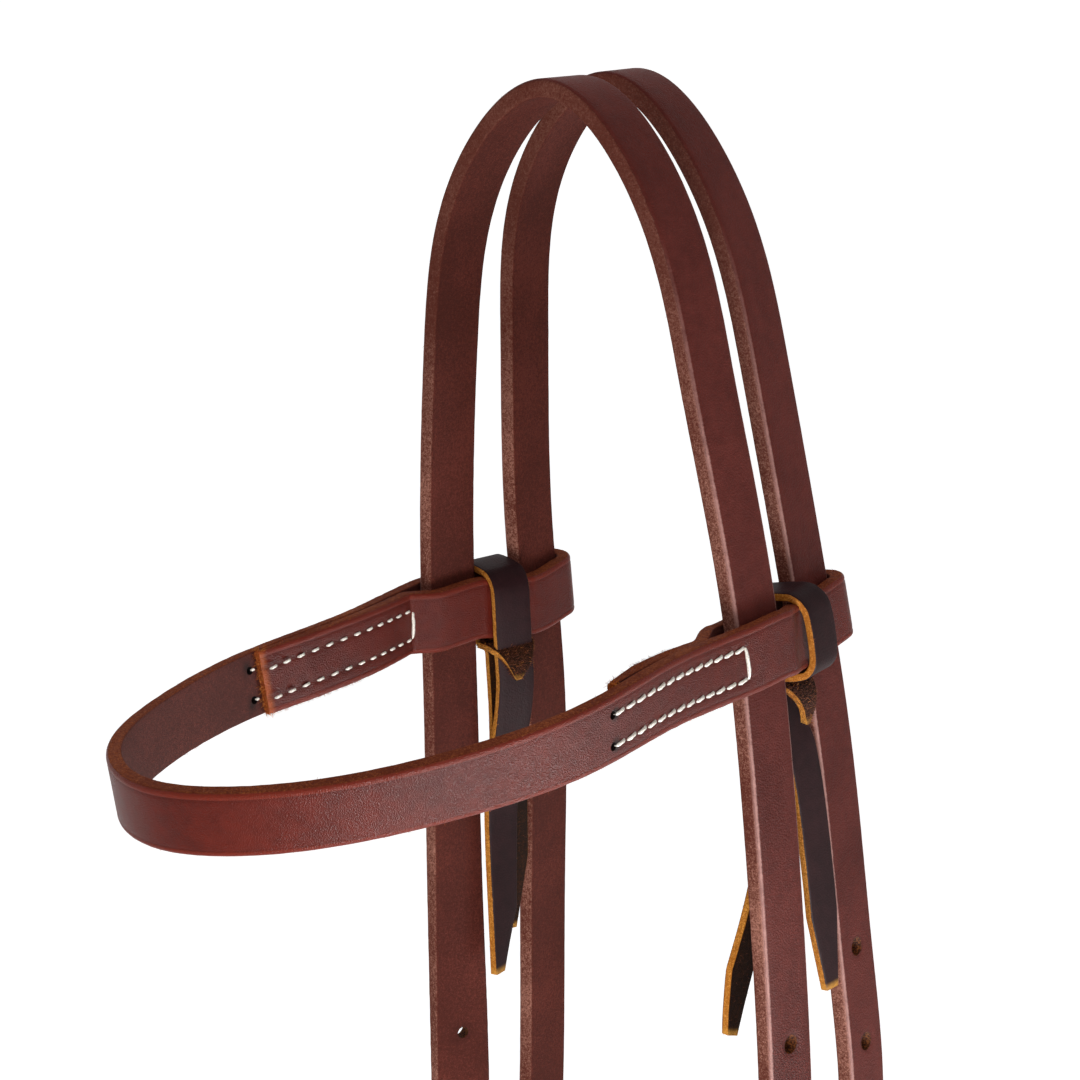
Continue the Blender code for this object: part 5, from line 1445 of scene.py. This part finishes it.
for name, matrix in axes.items():
    loop = [matrix @ (lean @ Vector((0, y, z + buckle_length / 2))) for y, z in bar_outline]
    buckle_frame = tube(name + "_buckle", loop, wire_radius, 24, True)
    dress(buckle_frame, (nickel,), "headstall", "hardware", name + "_buckle_frame")
    points = [matrix @ Vector(tongue_points[i]) for i in tongue_rows]
    length = run_length(np.array([tuple(p) for p in points]))
    taper = 1 - tongue_thinning * np.clip((length - length[-1] + tongue_taper) / tongue_taper, 0, 1)
    tongue = tube(name + "_tongue_wire", points, tongue_radius, 18, radii=taper)
    dress(tongue, (nickel,), name + "_tongue", "hardware", name + "_buckle_tongue")
print("buckles:", len(axes))

# %% Chicago screws
post_bore_diameter, screw_shank_diameter, screw_seating = 3.8 * mm, 3.0 * mm, 0.02 * mm
post_floor_share, screw_reach_share = 0.25, 0.6
screw_slot, slot_turn = (1.1 * mm, 11 * mm, 1.5 * mm), 0.6
half = layer_out + strap_thickness / 2 + screw_seating
head, barrel = post_head_diameter / 2, post_barrel_diameter / 2
bore, shank, reach = post_bore_diameter / 2, screw_shank_diameter / 2, 2 * half - seat_gap
rim = post_head_thickness - head_dome
cap = [(head - head_edge, 0), (head, -head_edge),
       *((head * math.sqrt(1 - s ** 2), -rim - head_dome * s) for s in (0.0, 0.3, 0.55, 0.75, 0.9, 0.98)),
       (0, -post_head_thickness)]
post_floor, screw_tip = reach * post_floor_share, reach * screw_reach_share
post_profile = [(0, post_floor), (bore, post_floor), (bore, reach), (barrel, reach), (barrel, 0), *cap]
screw_profile = [(0, screw_tip), (shank, screw_tip), (shank, 0), *cap]
for side_name in ("left", "right"):
    for k, level in enumerate(screw_levels):
        for kind, profile, x, flip in (("post", post_profile, -half, 90),
                                       ("screw", screw_profile, half, -90)):
            placed = (axes[side_name + "_cheek"] @ Matrix.Translation((x, 0, -level))
                      @ Matrix.Rotation(math.radians(flip), 4, "Y"))
            label = f"{side_name}_bit_end_{k + 1}_{kind}"
            made = spun(label + "_turned", profile, placed)
            if kind == "screw":
                mesh = bmesh.new()
                bmesh.ops.create_cube(mesh, size=1.0, matrix=(
                    placed @ Matrix.Translation((0, 0, -post_head_thickness))
                    @ Matrix.Rotation(slot_turn + k, 4, "Z") @ Matrix.Diagonal((*screw_slot, 1))))
                cut(made, piece(label + "_slot", mesh))
            dress(made, (nickel,), "headstall", "hardware", label)
print("chicago screws: 4 pairs")

# %% [markdown]
# Keepers. Each is a short band of the same leather, closed round the layers of strap below a buckle:
# the strap sweep once more, this time along a closed line.

# %% Keepers
same_spot, keeper_step = 0.01 * mm, 1.5 * mm


def keeper(name, matrix, drop, inside, outside):
    """A closed band round the layers that lie between inside and outside."""
    depth, width, wall = outside - inside + 2 * seat_gap, strap_width + 2 * seat_gap, keeper_wall
    flat = round_box(depth + wall, width + wall, edge_radius + seat_gap + wall / 2, 8)
    corners = [np.array(((inside + outside) / 2 + x, y)) for x, y in flat]
    line = corners[:1]
    for spot in corners[1:]:
        if np.linalg.norm(spot - line[-1]) > same_spot:
            line.append(spot)
    dense = []
    for first, second in zip(line, line[1:] + line[:1]):
        steps = max(1, int(np.linalg.norm(second - first) / keeper_step))
        dense += [first + (second - first) * k / steps for k in range(steps)]
    line = np.array(dense)
    along = unit(np.roll(line, -1, axis=0) - np.roll(line, 1, axis=0))
    outward = np.stack([along[:, 1], -along[:, 0]], axis=1)
    outline = strap_section(keeper_width, wall, 0.6 * mm, 0.4 * mm, lace_places)
    length = run_length(np.vstack([line, line[:1]]))
    rows, columns = len(line), len(outline)
    mesh = bmesh.new()
    run, wall_map, wear = (mesh.loops.layers.uv.new(label) for label in ("run", "wall", "wear"))
    grid = []
    for spot, out in zip(line, outward):
        ring = []
        for u, v, turned in outline:
            place = matrix @ Vector((spot[0] + out[0] * v, spot[1] + out[1] * v, -drop + u))
            ring.append(mesh.verts.new(place + Vector((0, 0, noise.noise(place / ragged_scale) * ragged
                                                       * math.sin(turned * math.pi)))))
        grid.append(ring)
    for r in range(rows):
        for c in range(columns):
            d, s = (c + 1) % columns, (r + 1) % rows
            face = mesh.faces.new((grid[r][c], grid[r][d], grid[s][d], grid[s][c]))
            for loop, (row, column) in zip(face.loops, ((r, c), (r, d), (r + 1, d), (r + 1, c))):
                u, v, turned = outline[column]
                loop[run].uv = (length[row], 1.0)
                loop[wall_map].uv = (u / (keeper_width / 2), turned)
                loop[wear].uv = (0.0, 0.0)
    bmesh.ops.recalc_face_normals(mesh, faces=mesh.faces)
    return settle(piece(name, mesh), 50)


for name, matrix in axes.items():
    for kind, drop, inner_layer, body in (("fixed", fixed_keeper_drop, -layer_out, "headstall"),
                                          ("sliding", sliding_keeper_drop, layer_out, name + "_keeper")):
        made = keeper(f"{name}_{kind}_loop", matrix, drop, inner_layer - strap_thickness / 2,
                      billet_over_cheek + strap_thickness / 2 + seat_gap)
        dress(made, (harness, shaded_hole_wall), body, "strap_leather", f"{name}_{kind}_keeper")
print("keepers:", 2 * len(axes))

# %% [markdown]
# The stage: a white sweep, and soft light as in a product studio. Two small box lights, low on the right
# and low in front, shade the leather, and beside each a lamp that only shines, for the soft highlights.

# %% Floor and backdrop
floor_level, floor_glow, plain_light = cad_low.z - 1 * mm, 0.62, 0.45


def seen_share(tree):
    """1 for a ray that shows the white itself, and 0 for the light that the white throws."""
    seen = add(tree, "ShaderNodeLightPath", out=None).outputs
    shown = add(tree, MATH, (seen["Is Camera Ray"], seen["Is Glossy Ray"]), **MAXIMUM)
    return add(tree, MATH, (shown, seen["Is Transmission Ray"]), **MAXIMUM)


mesh = bmesh.new()
bmesh.ops.create_grid(mesh, x_segments=1, y_segments=1, size=30.0,
                      matrix=Matrix.Translation((0, 0, floor_level)))
floor = piece("studio_floor", mesh)
white, tree, shader = fresh_material("white_paper_floor")
join(tree, shader, {"Base Color": srgb("#f2f2f2"), "Roughness": 0.9})
glow = add(tree, MATH, (seen_share(tree), floor_glow), **MULTIPLY)
glow = add(tree, "ShaderNodeEmission", (srgb("#ffffff"), glow))
join(tree, tree.nodes["Material Output"], (add(tree, "ShaderNodeAddShader", (shader.outputs[0], glow)),))
floor.data.materials.append(white)
floor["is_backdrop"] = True

world = bpy.data.worlds.new("studio")
bpy.context.scene.world = world
world.use_nodes = True
tree = world.node_tree
strength = add(tree, MATH, (seen_share(tree), 1 - plain_light, plain_light), **MULTIPLY_ADD)
join(tree, tree.nodes["Background"], ((1, 1, 1, 1), strength))

# %% [markdown]
# The camera. Its place and lens were fitted to where the straps lie in the photo, so the two pictures
# can be laid over each other.

# %% Camera
azimuth, elevation, distance = math.radians(41.6), math.radians(12.9), 783.7 * mm
focal_pixels, picture_pixels, sensor = 3104.9, 1080, 36.0
target = Vector((-26.0, 6.2, -113.95)) * mm
back = Vector((math.sin(azimuth) * math.cos(elevation), -math.cos(azimuth) * math.cos(elevation),
               math.sin(elevation)))


def place_and_aim(made, place, aim):
    """Stand a camera or lamp at a place, looking along a direction."""
    made.location = place
    made.rotation_mode = "QUATERNION"
    made.rotation_quaternion = aim.to_track_quat("-Z", "Y")


camera = put("camera", bpy.data.cameras.new("camera"))
camera.data.lens, camera.data.sensor_width = focal_pixels / picture_pixels * sensor, sensor
camera.data.clip_start, camera.data.clip_end = 10 * mm, 100.0
place_and_aim(camera, target + back * distance, -back)
bpy.context.scene.camera = camera
bpy.context.scene.view_settings.view_transform = "Standard"

# %% Lights
right = Vector((math.cos(azimuth), math.sin(azimuth), 0))
forward = Vector((-back.x, -back.y, 0)).normalized()
low_right = Vector((377, 11, -419)) * mm
# Each lamp: its place, the side of its square, its power in watts, and whether it only shines.
for name, place, size, power, gloss_only in (
        ("box_light_low_right", low_right, 0.14, 0.4, False),
        ("glint_light_low_right", low_right, 0.14, 14.0, True),
        ("box_light_front", target + right * 0.03 - forward * 0.52 - Vector((0, 0, 0.25)), 0.2, 2.0,
         False),
        ("glint_light_front", target + right * 0.40 - forward * 0.56 - Vector((0, 0, 0.14)), 0.16, 1.6,
         True),
        ("box_light_top", target - forward * 0.5 + Vector((0, 0, 1.2)), 0.8, 3.0, False)):
    lamp = put(name, bpy.data.lights.new(name, "AREA"))
    lamp.data.shape, lamp.data.size, lamp.data.energy = "SQUARE", size, power
    lamp.visible_camera, lamp.visible_diffuse = False, not gloss_only
    place_and_aim(lamp, place, target - place)

# %% Finish
low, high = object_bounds()
print("visual box, mm:", [round(x * 1000, 1) for x in (*low, *high)])
